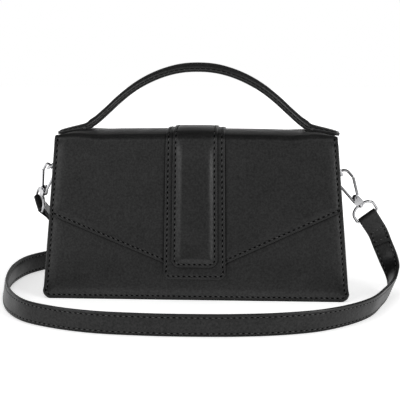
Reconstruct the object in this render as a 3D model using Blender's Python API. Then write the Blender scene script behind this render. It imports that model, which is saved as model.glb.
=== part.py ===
"""A structured leather crossbody bag with a flap, a top handle and a clip-on shoulder strap.

Metres, +Z up. +X is to the right as the wearer faces the flap, the flap's face looks along -Y,
and the bag stands on the floor at Z = 0 on the lower edges of its two panels.
"""
import math

import bmesh
import bpy
from mathutils import Euler, Matrix, Vector

# Fits shared by all pieces
CLEARANCE = 0.0003
CUT_OVERRUN = 0.002

# Body: two leaning panels joined by a gusset with turned-out seams
BODY_HEIGHT = 0.1297
BASE_WIDTH = 0.250
TOP_WIDTH = 0.2282
BASE_DEPTH = 0.072
TOP_DEPTH = 0.0466
PANEL_THICKNESS = 0.0022
PANEL_CORNER_RADIUS = 0.006
SEAM_MARGIN = 0.0055
GUSSET_THICKNESS = 0.0014
GUSSET_CORNER_RADIUS = 0.009
GUSSET_TOP_DROP = 0.0037
LINING_THICKNESS = 0.0007
LINING_TOP_DROP = 0.0015
BOARD_THICKNESS = 0.0016
BOARD_CORNER_RADIUS = 0.004
POCKET_WIDTH = 0.120
POCKET_BOTTOM = 0.045
POCKET_TOP = 0.102
POCKET_CORNER_RADIUS = 0.008
POCKET_THICKNESS = 0.0007

# Flap: an outer leather and a thinner lining, creased at the top's back and front edges
FACING_THICKNESS = 0.0009
COVER_THICKNESS = 0.0013
FLAP_SIDE_INSET = 0.0008
FLAP_CORNER_HEIGHT = 0.0712
FLAP_POINT_HEIGHT = 0.0315
FLAP_POINT_HALF_WIDTH = 0.0256
FLAP_END_HEIGHT = 0.0235
FLAP_END_HALF_WIDTH = 0.0125
FLAP_LAP = 0.022
FACING_MARGIN = 0.0008
CREASE_RELIEF = 0.0012

# Closure strip and the narrower padded strip sewn on it
STRIP_THICKNESS = 0.0016
STRIP_BASE_WIDTH = 0.0502
STRIP_TOP_WIDTH = 0.047
STRIP_END_HEIGHT = 0.0188
STRIP_CORNER_RADIUS = 0.005
STRIP_BACK_LENGTH = 0.020
PAD_THICKNESS = 0.0034
PAD_RIM_THICKNESS = 0.0012
PAD_BEVEL_WIDTH = 0.004
PAD_BASE_WIDTH = 0.0372
PAD_TOP_WIDTH = 0.0354
PAD_END_HEIGHT = 0.0287
PAD_CORNER_RADIUS = 0.006
PAD_BACK_LENGTH = 0.014

# Magnetic closure, one disc in the flap and one in the front panel
MAGNET_RADIUS = 0.007
MAGNET_HEIGHT = 0.043
PANEL_MAGNET_THICKNESS = 0.0012
PANEL_SKIN = 0.0007

# Handle
HANDLE_WIDTH = 0.018
HANDLE_FLANGE_THICKNESS = 0.0024
HANDLE_ROLL_THICKNESS = 0.0036
HANDLE_ROLL_INSET = 0.0022
HANDLE_RISE = 0.0572
HANDLE_HALF_SPAN = 0.0905
HANDLE_JOINT_RISE = 0.0115
HANDLE_JOINT_MIDDLE = 0.0025
HANDLE_TONGUE = 0.0065
HANDLE_TONGUE_TIP = 0.0020
HANDLE_END_ROLL_SHARE = 0.7
HANDLE_DOME_POWER = 0.8
TAB_END = 0.1138
TAB_START = 0.0985
TAB_CORNER_RADIUS = 0.004
TAB_DOME = 0.0034
TAB_END_DOME = 0.0008

# Side rings and the leather loops that hold them
RING_WIRE_RADIUS = 0.0013
RING_HALF_WIDTH = 0.0102
RING_DEPTH = 0.0130
RING_CORNER_RADIUS = 0.0023
RING_BOW_START = 0.0025
RING_BAR_DROP = 0.0197
RING_DROP_RIGHT = math.radians(62)
RING_DROP_LEFT = math.radians(33)
LOOP_WIDTH = 0.015
LOOP_THICKNESS = 0.0014
LOOP_TOP_DROP = 0.0062
LOOP_CLOSE_LENGTH = 0.006

# Snap hooks, in their own frame: the bow's centre is the origin, the shank points down
HOOK_WIRE_RADIUS = 0.00115
HOOK_BOW_RADIUS = 0.0065
HOOK_SHANK_LENGTH = 0.0238
HOOK_NOSE_LENGTH = 0.0050
HOOK_POST_TILT = math.radians(8)
HOOK_BASE_X = -0.0034
HOOK_BASE_HALF_WIDTH = 0.0036
HOOK_BASE_HALF_DEPTH = 0.0025
HOOK_BASE_DEPTH = 0.0026
EAR_RADIUS = 0.0024
EAR_SLOT_HALF_WIDTH = 0.0016
PIVOT_X = -0.0030
PIVOT_RISE = 0.0031
PIN_RADIUS = 0.0007
PIN_HEAD_RADIUS = 0.0011
PIN_HEAD_THICKNESS = 0.0004
GATE_ROOT_RADIUS = 0.0017
GATE_HALF_WIDTH = 0.0009
GATE_NEAR_SIDE = -0.0013
GATE_FAR_SIDE = 0.0003
GATE_ROOT_RISE = 0.0049
SPRING_WIRE_RADIUS = 0.00014
SPRING_RADIUS = 0.00125
SPRING_FIRST_ANGLE = math.radians(180)
SPRING_LAST_ANGLE = math.radians(689)
SPRING_PITCH = 0.00042
SPRING_START = 0.00066
SPRING_LEG = 0.0022
POST_RADIUS = 0.0010
POST_HEAD_RADIUS = 0.0017
POST_HEAD_THICKNESS = 0.0007

# Swivel eyes, D-shaped wire loops that the strap ends fold round
EYE_WIRE_RADIUS = 0.00115
EYE_HALF_WIDTH = 0.00995
EYE_DEPTH = 0.0125
EYE_SHOULDER_DEPTH = 0.0065
EYE_CROWN_HALF_WIDTH = 0.0020
EYE_CORNER_RADIUS = 0.0018
EYE_BOSS_RADIUS = 0.0024
EYE_BOSS_LENGTH = 0.0026

# Each clip's place: the bow's centre measured from its ring's bar, and how the hook turns, tips and rolls
CLIP_RIGHT_FROM_BAR = (0.00754, 0.0, -0.0139)
CLIP_RIGHT_TURN = (math.radians(0.8), math.radians(-42.6), math.radians(17.6))
CLIP_LEFT_FROM_BAR = (-0.01024, 0.0003, -0.0102)
CLIP_LEFT_TURN = (math.radians(12.1), math.radians(46.1), math.radians(-38.0))
EYE_RIGHT_SPIN = math.radians(-6)
EYE_LEFT_SPIN = math.radians(-17)

# Shoulder strap: a flat strap that stands on its edge round the bag
STRAP_WIDTH = 0.0166
STRAP_THICKNESS = 0.0028
STRAP_BEVEL = 0.0005
STRAP_STATIONS = 210
FOLD_THICKNESS = 0.0015
FOLD_LENGTH = 0.026
FOLD_START = 0.0045
FOLD_CLOSE_LENGTH = 0.004

# The strap's route from the right eye to the left one, and which way its width points
STRAP_ROUTE = [
    ((0.1562, 0.0102, 0.0385), (0.68, 0.08, 0.73)),
    ((0.1608, 0.0065, 0.0275), (0.58, -0.05, 0.80)),
    ((0.1637, -0.0010, 0.0178), (0.46, -0.22, 0.86)),
    ((0.1622, -0.0130, 0.0112), (0.32, -0.32, 0.90)),
    ((0.1570, -0.0290, 0.0088), (0.24, -0.28, 0.93)),
    ((0.1500, -0.0470, 0.0085), (0.20, -0.26, 0.94)),
    ((0.1370, -0.0755, 0.0085), (0.12, -0.22, 0.97)),
    ((0.1190, -0.0960, 0.0086), (0.06, -0.18, 0.98)),
    ((0.0960, -0.1120, 0.0087), (0.02, -0.08, 1.0)),
    ((0.0660, -0.1220, 0.0087), (0.0, -0.02, 1.0)),
    ((0.0375, -0.1265, 0.0087), (0.0, 0.0, 1.0)),
    ((0.0087, -0.1282, 0.0087), (0.0, 0.0, 1.0)),
    ((-0.0350, -0.1275, 0.0087), (0.0, 0.0, 1.0)),
    ((-0.0720, -0.1230, 0.0087), (0.0, 0.0, 1.0)),
    ((-0.1010, -0.1132, 0.0087), (0.0, 0.0, 1.0)),
    ((-0.1250, -0.0985, 0.0087), (0.05, 0.06, 1.0)),
    ((-0.1410, -0.0765, 0.0086), (0.12, 0.12, 0.98)),
    ((-0.1520, -0.0480, 0.0086), (0.16, 0.06, 0.98)),
    ((-0.1582, -0.0150, 0.0086), (0.14, 0.0, 0.99)),
    ((-0.1590, 0.0140, 0.0087), (0.08, 0.0, 1.0)),
    ((-0.1530, 0.0410, 0.0087), (0.0, 0.0, 1.0)),
    ((-0.1340, 0.0650, 0.0087), (0.0, 0.0, 1.0)),
    ((-0.1040, 0.0820, 0.0087), (0.0, 0.0, 1.0)),
    ((-0.0620, 0.0930, 0.0087), (0.0, 0.0, 1.0)),
    ((-0.0150, 0.0975, 0.0087), (0.0, 0.0, 1.0)),
    ((0.0320, 0.0960, 0.0087), (0.0, 0.0, 1.0)),
    ((0.0650, 0.0890, 0.0087), (0.0, 0.0, 1.0)),
    ((0.0800, 0.0740, 0.0087), (0.0, 0.0, 1.0)),
    ((0.0700, 0.0580, 0.0087), (0.0, 0.0, 1.0)),
    ((0.0400, 0.0505, 0.0087), (0.0, 0.0, 1.0)),
    ((0.0000, 0.0505, 0.0088), (0.0, 0.0, 1.0)),
    ((-0.0400, 0.0545, 0.0100), (0.0, 0.04, 1.0)),
    ((-0.0780, 0.0605, 0.0150), (-0.04, 0.10, 1.0)),
    ((-0.1080, 0.0620, 0.0260), (-0.12, 0.22, 0.96)),
    ((-0.1270, 0.0530, 0.0405), (-0.24, 0.46, 0.84)),
]
STRAP_LEFT_LEAVES = (0.15, 0.72, -0.70)
STRAP_RIGHT_LEAVES = (0.52, 0.20, -0.83)
STRAP_LEAD = 0.013

# How round shapes are cut into faces
CORNER_STEPS = 6
WIRE_SIDES = 10
WIRE_STEPS = 12
ROUND_SIDES = 20
HANDLE_STEPS = 40
SPRING_STEPS = 12
ROUTE_FINENESS = 16

# The flap lies over the body in layers. These are their faces' distances from the body's surface.
FACING_IN = CLEARANCE
FACING_OUT = FACING_IN + FACING_THICKNESS
COVER_IN = FACING_OUT + CLEARANCE
COVER_OUT = COVER_IN + COVER_THICKNESS
STRIP_IN = COVER_OUT + CLEARANCE
STRIP_OUT = STRIP_IN + STRIP_THICKNESS
PAD_IN = STRIP_OUT + CLEARANCE
PAD_RIM = PAD_IN + PAD_RIM_THICKNESS
PAD_OUT = PAD_IN + PAD_THICKNESS
FLAP_TOP = BODY_HEIGHT + COVER_OUT


def half_depth(height):
    """The panels' outer face is this far from the bag's middle plane."""
    return (BASE_DEPTH + (TOP_DEPTH - BASE_DEPTH) * height / BODY_HEIGHT) / 2


def half_width(height):
    """The panels' side edge is this far from the bag's middle plane."""
    return (BASE_WIDTH + (TOP_WIDTH - BASE_WIDTH) * height / BODY_HEIGHT) / 2


# The padded strip stands proud in front, so the bag's middle plane lies a little behind the origin
PAD_FULL_HEIGHT = PAD_END_HEIGHT + PAD_BEVEL_WIDTH
MIDDLE_Y = (half_depth(PAD_FULL_HEIGHT) + PAD_OUT - half_depth(0)) / 2
CREASE_HALF_DEPTH = half_depth(BODY_HEIGHT) + COVER_OUT

FRONT = -1
BACK = 1


def clear_scene():
    for thing in list(bpy.data.objects):
        bpy.data.objects.remove(thing, do_unlink=True)


def principled(name, colour, roughness, metallic=0.0):
    material = bpy.data.materials.new(name)
    material.use_nodes = True
    shader = material.node_tree.nodes["Principled BSDF"]
    shader.inputs["Base Color"].default_value = (*colour, 1.0)
    shader.inputs["Roughness"].default_value = roughness
    shader.inputs["Metallic"].default_value = metallic
    material.diffuse_color = (*colour, 1.0)
    return material


def black_leather():
    return principled("black_leather", (0.018, 0.018, 0.018), 0.45)


def painted_edge_leather():
    return principled("strap_leather", (0.022, 0.022, 0.022), 0.4)


def lining_fabric():
    return principled("lining_fabric", (0.03, 0.03, 0.032), 0.85)


def stiffener_board():
    return principled("stiffener_board", (0.16, 0.14, 0.12), 0.8)


def polished_metal():
    return principled("polished_metal", (0.75, 0.75, 0.76), 0.15, 1.0)


def magnet_metal():
    return principled("magnet_metal", (0.45, 0.45, 0.46), 0.35, 1.0)


def spring_steel():
    return principled("spring_steel", (0.5, 0.5, 0.52), 0.3, 1.0)


def add_object(name, mesh, material, parent, smooth=True):
    thing = bpy.data.objects.new(name, mesh)
    bpy.context.collection.objects.link(thing)
    if material is not None:
        mesh.materials.append(material)
    thing.parent = parent
    if smooth:
        mesh.shade_smooth()
        mesh.set_sharp_from_angle(angle=math.radians(35))
    return thing


def add_empty(name, location, parent=None, rotation=(0, 0, 0)):
    empty = bpy.data.objects.new(name, None)
    bpy.context.collection.objects.link(empty)
    empty.location = location
    empty.rotation_euler = rotation
    empty.parent = parent
    return empty


def mesh_from(name, points, faces):
    """A mesh with its faces turned outwards."""
    mesh = bpy.data.meshes.new(name)
    mesh.from_pydata([tuple(point) for point in points], [], faces)
    work = bmesh.new()
    work.from_mesh(mesh)
    bmesh.ops.remove_doubles(work, verts=work.verts, dist=CLEARANCE / 100)
    bmesh.ops.recalc_face_normals(work, faces=work.faces)
    work.to_mesh(mesh)
    work.free()
    return mesh


def rings_mesh(name, rings, closed=False):
    """Skin over rings of points, with a flat cap on each end unless the rings close on themselves."""
    count = len(rings[0])
    points = [point for ring in rings for point in ring]
    faces = []
    spans = len(rings) if closed else len(rings) - 1
    for i in range(spans):
        here, there = i * count, (i + 1) % len(rings) * count
        for k in range(count):
            after = (k + 1) % count
            faces.append((here + k, here + after, there + after, there + k))
    if not closed:
        faces.append(tuple(range(count)))
        faces.append(tuple((len(rings) - 1) * count + k for k in range(count)))
    return mesh_from(name, points, faces)


def set_origin(thing, place):
    """Moves an object's origin, in its parent's frame, to a joint's axis."""
    shift = Vector(place) - thing.location
    thing.data.transform(Matrix.Translation(-shift))
    thing.location = place


def cut(thing, tool, operation="DIFFERENCE"):
    """Boolean with a hidden tool object."""
    tool.hide_render = True
    tool.display_type = "WIRE"
    step = thing.modifiers.new(tool.name, "BOOLEAN")
    step.operation = operation
    step.solver = "EXACT"
    step.object = tool


def arc(centre_a, centre_b, radius, start, end, steps):
    """Points of a circle's arc in a plane, angles in degrees, ends included."""
    points = []
    for i in range(steps + 1):
        angle = math.radians(start + (end - start) * i / steps)
        points.append((centre_a + radius * math.cos(angle), centre_b + radius * math.sin(angle)))
    return points


def circle(radius, sides):
    turn = 2 * math.pi / sides
    return [(radius * math.cos(turn * k), radius * math.sin(turn * k)) for k in range(sides)]


def body_outline(side_inset, bottom_inset, radius, top):
    """The panels' U outline from the top right corner round the bottom to the top left one."""
    low = half_width(bottom_inset) - side_inset - radius
    right = [(half_width(top) - side_inset, top)]
    right += [(x, z) for x, z in reversed(arc(low, bottom_inset + radius, radius, -90, 0, CORNER_STEPS))]
    return right + [(-x, z) for x, z in reversed(right)]


def face_plate(name, outline, inner, outer, side, material, parent, inner_outline=None):
    """A sheet parallel to the front or back panel, between two distances from its outer face."""
    below = inner_outline or outline
    rings = [
        [(x, side * (half_depth(z) + inner), z) for x, z in below],
        [(x, side * (half_depth(z) + outer), z) for x, z in outline],
    ]
    return add_object(name, rings_mesh(name, rings), material, parent, smooth=False)


def disc(name, centre, axis, radius, length, material, parent):
    """A short cylinder along an axis, centred on a point."""
    axis = Vector(axis).normalized()
    across = axis.orthogonal().normalized()
    up = axis.cross(across)
    rings = []
    for end in (-length / 2, length / 2):
        middle = Vector(centre) + axis * end
        rings.append([middle + across * a + up * b for a, b in circle(radius, ROUND_SIDES)])
    return add_object(name, rings_mesh(name, rings), material, parent)


def panel_outline(top):
    return body_outline(0, 0, PANEL_CORNER_RADIUS, top)


def make_panels(parent):
    leather = black_leather()
    front = face_plate("front_panel", panel_outline(BODY_HEIGHT), -PANEL_THICKNESS, 0, FRONT, leather, parent)
    face_plate("back_panel", panel_outline(BODY_HEIGHT), -PANEL_THICKNESS, 0, BACK, leather, parent)
    lean = Vector((0, -1, (BASE_DEPTH - TOP_DEPTH) / 2 / BODY_HEIGHT)).normalized()
    inner_face = Vector((0, -half_depth(MAGNET_HEIGHT) + PANEL_THICKNESS, MAGNET_HEIGHT))
    pocket_depth = PANEL_THICKNESS - PANEL_SKIN
    socket = disc(
        "magnet_recess_cutter",
        inner_face + lean * (pocket_depth - CUT_OVERRUN) / 2,
        lean,
        MAGNET_RADIUS + CLEARANCE,
        pocket_depth + CUT_OVERRUN,
        None,
        parent,
    )
    cut(front, socket)
    magnet_middle = inner_face + lean * (pocket_depth - CLEARANCE - PANEL_MAGNET_THICKNESS / 2)
    disc("panel_magnet", magnet_middle, lean, MAGNET_RADIUS, PANEL_MAGNET_THICKNESS, magnet_metal(), parent)


def make_gusset(parent):
    """One band round the sides and bottom. Its edges turn outwards and are sewn to the panels' rims."""
    top = BODY_HEIGHT - GUSSET_TOP_DROP
    web = SEAM_MARGIN + GUSSET_THICKNESS
    rim = body_outline(0, 0, PANEL_CORNER_RADIUS, top)
    outside = body_outline(SEAM_MARGIN, SEAM_MARGIN, GUSSET_CORNER_RADIUS, top)
    inside = body_outline(web, web, GUSSET_CORNER_RADIUS - GUSSET_THICKNESS, top)
    gap = PANEL_THICKNESS + CLEARANCE
    section = [
        (rim, -1, gap),
        (inside, -1, gap),
        (inside, 1, gap),
        (rim, 1, gap),
        (rim, 1, gap + GUSSET_THICKNESS),
        (outside, 1, gap + GUSSET_THICKNESS),
        (outside, -1, gap + GUSSET_THICKNESS),
        (rim, -1, gap + GUSSET_THICKNESS),
    ]
    rings = []
    for i in range(len(rim)):
        rings.append([(line[i][0], side * (half_depth(line[i][1]) - y), line[i][1]) for line, side, y in section])
    add_object("gusset", rings_mesh("gusset", rings), black_leather(), parent)


def make_board(parent):
    low = SEAM_MARGIN + GUSSET_THICKNESS + CLEARANCE
    reach_x = half_width(low) - low - GUSSET_CORNER_RADIUS
    reach_y = half_depth(low + BOARD_THICKNESS) - PANEL_THICKNESS - CLEARANCE * 2
    r = BOARD_CORNER_RADIUS
    corners = ((1, 1, 0), (-1, 1, 90), (-1, -1, 180), (1, -1, 270))
    outline = []
    for sx, sy, start in corners:
        outline += arc(sx * (reach_x - r), sy * (reach_y - r), r, start, start + 90, CORNER_STEPS)
    rings = [[(x, y, z) for x, y in outline] for z in (low, low + BOARD_THICKNESS)]
    add_object("base_board", rings_mesh("base_board", rings), stiffener_board(), parent)


def lining_floor():
    return SEAM_MARGIN + GUSSET_THICKNESS + BOARD_THICKNESS + 2 * CLEARANCE


def make_lining(parent):
    """An open-topped fabric bag inside the panels and gusset."""
    top = BODY_HEIGHT - LINING_TOP_DROP
    side = SEAM_MARGIN + GUSSET_THICKNESS + CLEARANCE
    wall = PANEL_THICKNESS + CLEARANCE
    radius = GUSSET_CORNER_RADIUS - GUSSET_THICKNESS - CLEARANCE
    skins = []
    for extra in (0, LINING_THICKNESS):
        line = body_outline(side + extra, lining_floor() + extra, radius - extra, top)
        for face in (FRONT, BACK):
            skins.append([(x, face * (half_depth(z) - wall - extra), z) for x, z in line])
    count = len(skins[0])
    points = [point for skin in skins for point in skin]
    faces = [tuple(range(k * count, (k + 1) * count)) for k in range(4)]
    for front, back in ((0, count), (2 * count, 3 * count)):
        for i in range(count - 1):
            faces.append((front + i, front + i + 1, back + i + 1, back + i))
    last = count - 1
    for a, b in ((0, last), (count, count + last), (0, count), (last, count + last)):
        faces.append((a, b, b + 2 * count, a + 2 * count))
    add_object("lining", mesh_from("lining", points, faces), lining_fabric(), parent, smooth=False)


def make_pocket(parent):
    r = POCKET_CORNER_RADIUS
    half = POCKET_WIDTH / 2
    right = [(half, POCKET_TOP)]
    right += list(reversed(arc(half - r, POCKET_BOTTOM + r, r, -90, 0, CORNER_STEPS)))
    outline = right + [(-x, z) for x, z in reversed(right)]
    outer = -(PANEL_THICKNESS + LINING_THICKNESS + 2 * CLEARANCE)
    face_plate("inner_pocket", outline, outer - POCKET_THICKNESS, outer, BACK, lining_fabric(), parent)


def flap_outline(top, inset):
    """The flap's front: straight sides, a wide V and a blunt end behind the closure strip."""
    corner = FLAP_CORNER_HEIGHT + inset
    right = [
        (half_width(top) - FLAP_SIDE_INSET - inset, top),
        (half_width(corner) - FLAP_SIDE_INSET - inset, corner),
        (FLAP_POINT_HALF_WIDTH, FLAP_POINT_HEIGHT + inset),
        (FLAP_END_HALF_WIDTH, FLAP_END_HEIGHT + inset),
    ]
    return right + [(-x, z) for x, z in reversed(right)]


def strip_outline(top, bottom, top_width, base_width, end, radius):
    """A strip with parallel-looking sides and a rounded end. Its width follows the height."""

    def half(height):
        share = (height - end) / (FLAP_TOP - end)
        return (base_width + (top_width - base_width) * share) / 2

    right = [(half(top), top)]
    right += list(reversed(arc(half(bottom) - radius, bottom + radius, radius, -90, 0, CORNER_STEPS)))
    return right + [(-x, z) for x, z in reversed(right)]


def top_sheet(name, half, y_ends, heights, end_slopes, material, parent):
    """A level sheet on the bag's top. Each end is mitred where its crease needs it."""
    rings = []
    for height, slope in zip(heights, (0, 1)):
        low = y_ends[0] + end_slopes[0] * slope
        high = y_ends[1] + end_slopes[1] * slope
        rings.append([(half, low, height), (half, high, height), (-half, high, height), (-half, low, height)])
    return add_object(name, rings_mesh(name, rings), material, parent, smooth=False)


def make_flap(frame, top_hinge, front_hinge):
    """Lap on the back, level top and hanging front, with mitred creases between them."""
    leather = black_leather()
    lap_bottom = BODY_HEIGHT - FLAP_LAP
    for name, inner, outer, margin in (
        ("flap_lining", FACING_IN, FACING_OUT, FACING_MARGIN),
        ("flap", COVER_IN, COVER_OUT, 0),
    ):
        lower = flap_outline(BODY_HEIGHT + inner - CLEARANCE, margin)
        upper = flap_outline(BODY_HEIGHT + outer - CLEARANCE, margin)
        front = face_plate(f"{name}_front", upper, inner, outer, FRONT, leather, front_hinge, lower)
        set_origin(front, front_hinge.location)
        front.location = (0, 0, 0)
        half = half_width(BODY_HEIGHT) - FLAP_SIDE_INSET - margin
        reach = half_depth(BODY_HEIGHT) + inner - CLEARANCE
        thick = outer - inner
        top = top_sheet(
            f"{name}_top",
            half,
            (-reach, reach),
            (BODY_HEIGHT + inner, BODY_HEIGHT + outer),
            (-thick, thick),
            leather,
            top_hinge,
        )
        set_origin(top, top_hinge.location)
        top.location = (0, 0, 0)
        lap = []
        for face in (FACING_IN, outer):
            z = BODY_HEIGHT + face - CLEARANCE
            side = half_width(z) - FLAP_SIDE_INSET - margin
            low = half_width(lap_bottom) - FLAP_SIDE_INSET - margin
            lap.append([(side, z), (low, lap_bottom + margin), (-low, lap_bottom + margin), (-side, z)])
        if name == "flap":
            bottom = BODY_HEIGHT - FLAP_LAP
            face_plate("flap_back", lap[1], FACING_IN, outer, BACK, leather, frame, lap[0])


def dome_strip(name, outline, rim, crown, side, material, parent, base):
    """A padded strip: a flat rim all round and a raised middle."""
    middle_x = 0
    tops = [z for x, z in outline]
    top = max(tops)
    bottom = min(tops)
    inset = PAD_BEVEL_WIDTH

    def shrink(x, z):
        half = max(abs(px) for px, pz in outline)
        new_x = middle_x + x * (half - inset) / half
        new_z = top - (top - z) * (top - bottom - inset) / (top - bottom)
        return new_x, new_z

    inner = [shrink(x, z) for x, z in outline]
    rings = [
        [(x, side * (half_depth(z) + base), z) for x, z in outline],
        [(x, side * (half_depth(z) + rim), z) for x, z in outline],
        [(x, side * (half_depth(z) + crown), z) for x, z in inner],
    ]
    return add_object(name, rings_mesh(name, rings), material, parent, smooth=False)


def make_strips(frame, top_hinge, front_hinge):
    """The closure strip and its padded strip run from the back lap over the top and down the front."""
    leather = black_leather()
    stop = FLAP_TOP - CREASE_RELIEF
    strip = strip_outline(
        stop, STRIP_END_HEIGHT, STRIP_TOP_WIDTH, STRIP_BASE_WIDTH, STRIP_END_HEIGHT, STRIP_CORNER_RADIUS
    )
    piece = face_plate("strip_front", strip, STRIP_IN, STRIP_OUT, FRONT, leather, front_hinge)
    ride_on_hinge(piece, front_hinge)
    pad = strip_outline(stop, PAD_END_HEIGHT, PAD_TOP_WIDTH, PAD_BASE_WIDTH, PAD_END_HEIGHT, PAD_CORNER_RADIUS)
    piece = dome_strip("pad_front", pad, PAD_RIM, PAD_OUT, FRONT, leather, front_hinge, PAD_IN)
    ride_on_hinge(piece, front_hinge)
    reach = CREASE_HALF_DEPTH - CREASE_RELIEF
    levels = (BODY_HEIGHT + STRIP_IN, BODY_HEIGHT + STRIP_OUT)
    piece = top_sheet("strip_top", STRIP_TOP_WIDTH / 2, (-reach, reach), levels, (0, 0), leather, top_hinge)
    ride_on_hinge(piece, top_hinge)
    half = PAD_TOP_WIDTH / 2
    rings = []
    for inset, level in ((0, PAD_IN), (0, PAD_RIM), (PAD_BEVEL_WIDTH, PAD_OUT)):
        x, z = half - inset, BODY_HEIGHT + level
        rings.append([(x, -reach, z), (x, reach, z), (-x, reach, z), (-x, -reach, z)])
    piece = add_object("pad_top", rings_mesh("pad_top", rings), leather, top_hinge, smooth=False)
    ride_on_hinge(piece, top_hinge)
    back_end = FLAP_TOP - STRIP_BACK_LENGTH
    strip = strip_outline(stop, back_end, STRIP_TOP_WIDTH, STRIP_TOP_WIDTH, back_end, STRIP_CORNER_RADIUS)
    face_plate("strip_back", strip, STRIP_IN, STRIP_OUT, BACK, leather, frame)
    back_end = FLAP_TOP - PAD_BACK_LENGTH
    pad = strip_outline(stop, back_end, PAD_TOP_WIDTH, PAD_TOP_WIDTH, back_end, PAD_CORNER_RADIUS)
    dome_strip("pad_back", pad, PAD_RIM, PAD_OUT, BACK, leather, frame, PAD_IN)


def ride_on_hinge(piece, hinge):
    """Keeps a piece built in the bag's frame where it is, with its origin on its hinge's axis."""
    set_origin(piece, hinge.location)
    piece.location = (0, 0, 0)


def make_flap_magnet(front_hinge):
    """A disc in a hole of the flap's cover, hidden between the flap's lining and the closure strip."""
    lean = Vector((0, -1, (BASE_DEPTH - TOP_DEPTH) / 2 / BODY_HEIGHT)).normalized()
    cover = bpy.data.objects["flap_front"]
    middle = Vector((0, -half_depth(MAGNET_HEIGHT) - (COVER_IN + COVER_OUT) / 2, MAGNET_HEIGHT))
    thickness = COVER_THICKNESS * abs(lean.y)
    magnet = disc("flap_magnet", middle, lean, MAGNET_RADIUS, thickness, magnet_metal(), front_hinge)
    ride_on_hinge(magnet, front_hinge)
    hole = disc(
        "magnet_hole_cutter",
        middle,
        lean,
        MAGNET_RADIUS + CLEARANCE,
        COVER_THICKNESS + CUT_OVERRUN,
        None,
        front_hinge,
    )
    ride_on_hinge(hole, front_hinge)
    cut(cover, hole)


def handle_curve(x):
    """Height of the handle's underside above the flap's top, and its slope, at a distance from the middle."""
    share = min(abs(x) / HANDLE_HALF_SPAN, 1)
    rise = HANDLE_RISE - HANDLE_FLANGE_THICKNESS - HANDLE_ROLL_THICKNESS
    height = rise * (1 - share ** 2) ** 1.06
    return height


def handle_point(x):
    return Vector((x, 0, FLAP_TOP + handle_curve(x)))


def handle_frame(x, step):
    """A point on the handle's underside and the direction that stands on it."""
    tangent = (handle_point(x + step) - handle_point(x - step)).normalized()
    return handle_point(x), Vector((-tangent.z, 0, tangent.x))


def handle_split():
    """How far from the middle the handle meets its tabs, where the underside has risen enough."""
    x = HANDLE_HALF_SPAN
    step = HANDLE_HALF_SPAN / 400
    while handle_curve(x) < HANDLE_JOINT_RISE:
        x -= step
    return x


def tongue_half_width(from_end):
    """The handle and its tabs narrow to rounded tongues where they meet, so that the handle can tilt."""
    half = HANDLE_WIDTH / 2
    if from_end >= HANDLE_TONGUE:
        return half
    share = 1 - from_end / HANDLE_TONGUE
    return max(half * math.sqrt(1 - share ** 2), HANDLE_TONGUE_TIP)


def handle_places(first, last, count, tongues):
    """Distances from the middle along the handle, set closer together in the rounded ends."""
    places = [first + (last - first) * i / count for i in range(count + 1)]
    for tip in tongues:
        direction = 1 if tip == first else -1
        places = [x for x in places if abs(x - tip) > HANDLE_TONGUE]
        for i in range(CORNER_STEPS + 1):
            share = 1 - math.cos(math.pi / 2 * i / CORNER_STEPS)
            places.append(tip + direction * HANDLE_TONGUE * share)
    return sorted(places)


def flat_section(half, low, high):
    return [(-half, low), (half, low), (half, high), (-half, high)]


def dome_section(half, low, rise):
    """The padded roll's outline: a flat underside and a rounded back."""
    crown = half * (1 - HANDLE_ROLL_INSET / (HANDLE_WIDTH / 2))
    section = [(crown, low)]
    for k in range(1, CORNER_STEPS * 2):
        angle = math.pi * k / (CORNER_STEPS * 2)
        section.append((crown * math.cos(angle), low + rise * math.sin(angle) ** HANDLE_DOME_POWER))
    return section + [(-crown, low)]


def tab_section(half, rise):
    """A flat flange with a domed roll on it, in one piece."""
    dome = dome_section(half, HANDLE_FLANGE_THICKNESS, rise)
    return [(-half, 0), (half, 0), (half, HANDLE_FLANGE_THICKNESS)] + dome + [(-half, HANDLE_FLANGE_THICKNESS)]


def section_ring(point, up, section):
    return [point + Vector((0, y, 0)) + up * h for y, h in section]


def make_handle(handle_hinge, top_hinge):
    """The arch in two pieces, a sewn flange and the padded roll on it, between two short tabs."""
    split = handle_split()
    step = split / HANDLE_STEPS
    flange_rings, roll_rings = [], []
    for x in handle_places(-split, split, HANDLE_STEPS, (-split, split)):
        share = abs(x) / split
        point, up = handle_frame(x, step)
        half = tongue_half_width(split - abs(x))
        flange_rings.append(section_ring(point, up, flat_section(half, 0, HANDLE_FLANGE_THICKNESS)))
        roll = HANDLE_ROLL_THICKNESS * (1 - (1 - HANDLE_END_ROLL_SHARE) * share ** 2)
        roll_rings.append(section_ring(point, up, dome_section(half, HANDLE_FLANGE_THICKNESS + CLEARANCE, roll)))
    for name, rings in (("handle_strap", flange_rings), ("handle_roll", roll_rings)):
        piece = add_object(name, rings_mesh(name, rings), black_leather(), handle_hinge)
        set_origin(piece, Vector(handle_hinge.location) + Vector(top_hinge.location))
        piece.location = (0, 0, 0)
    for side, name in ((-1, "handle_tab_left"), (1, "handle_tab_right")):
        make_tab(name, side, split, step, top_hinge)


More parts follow.
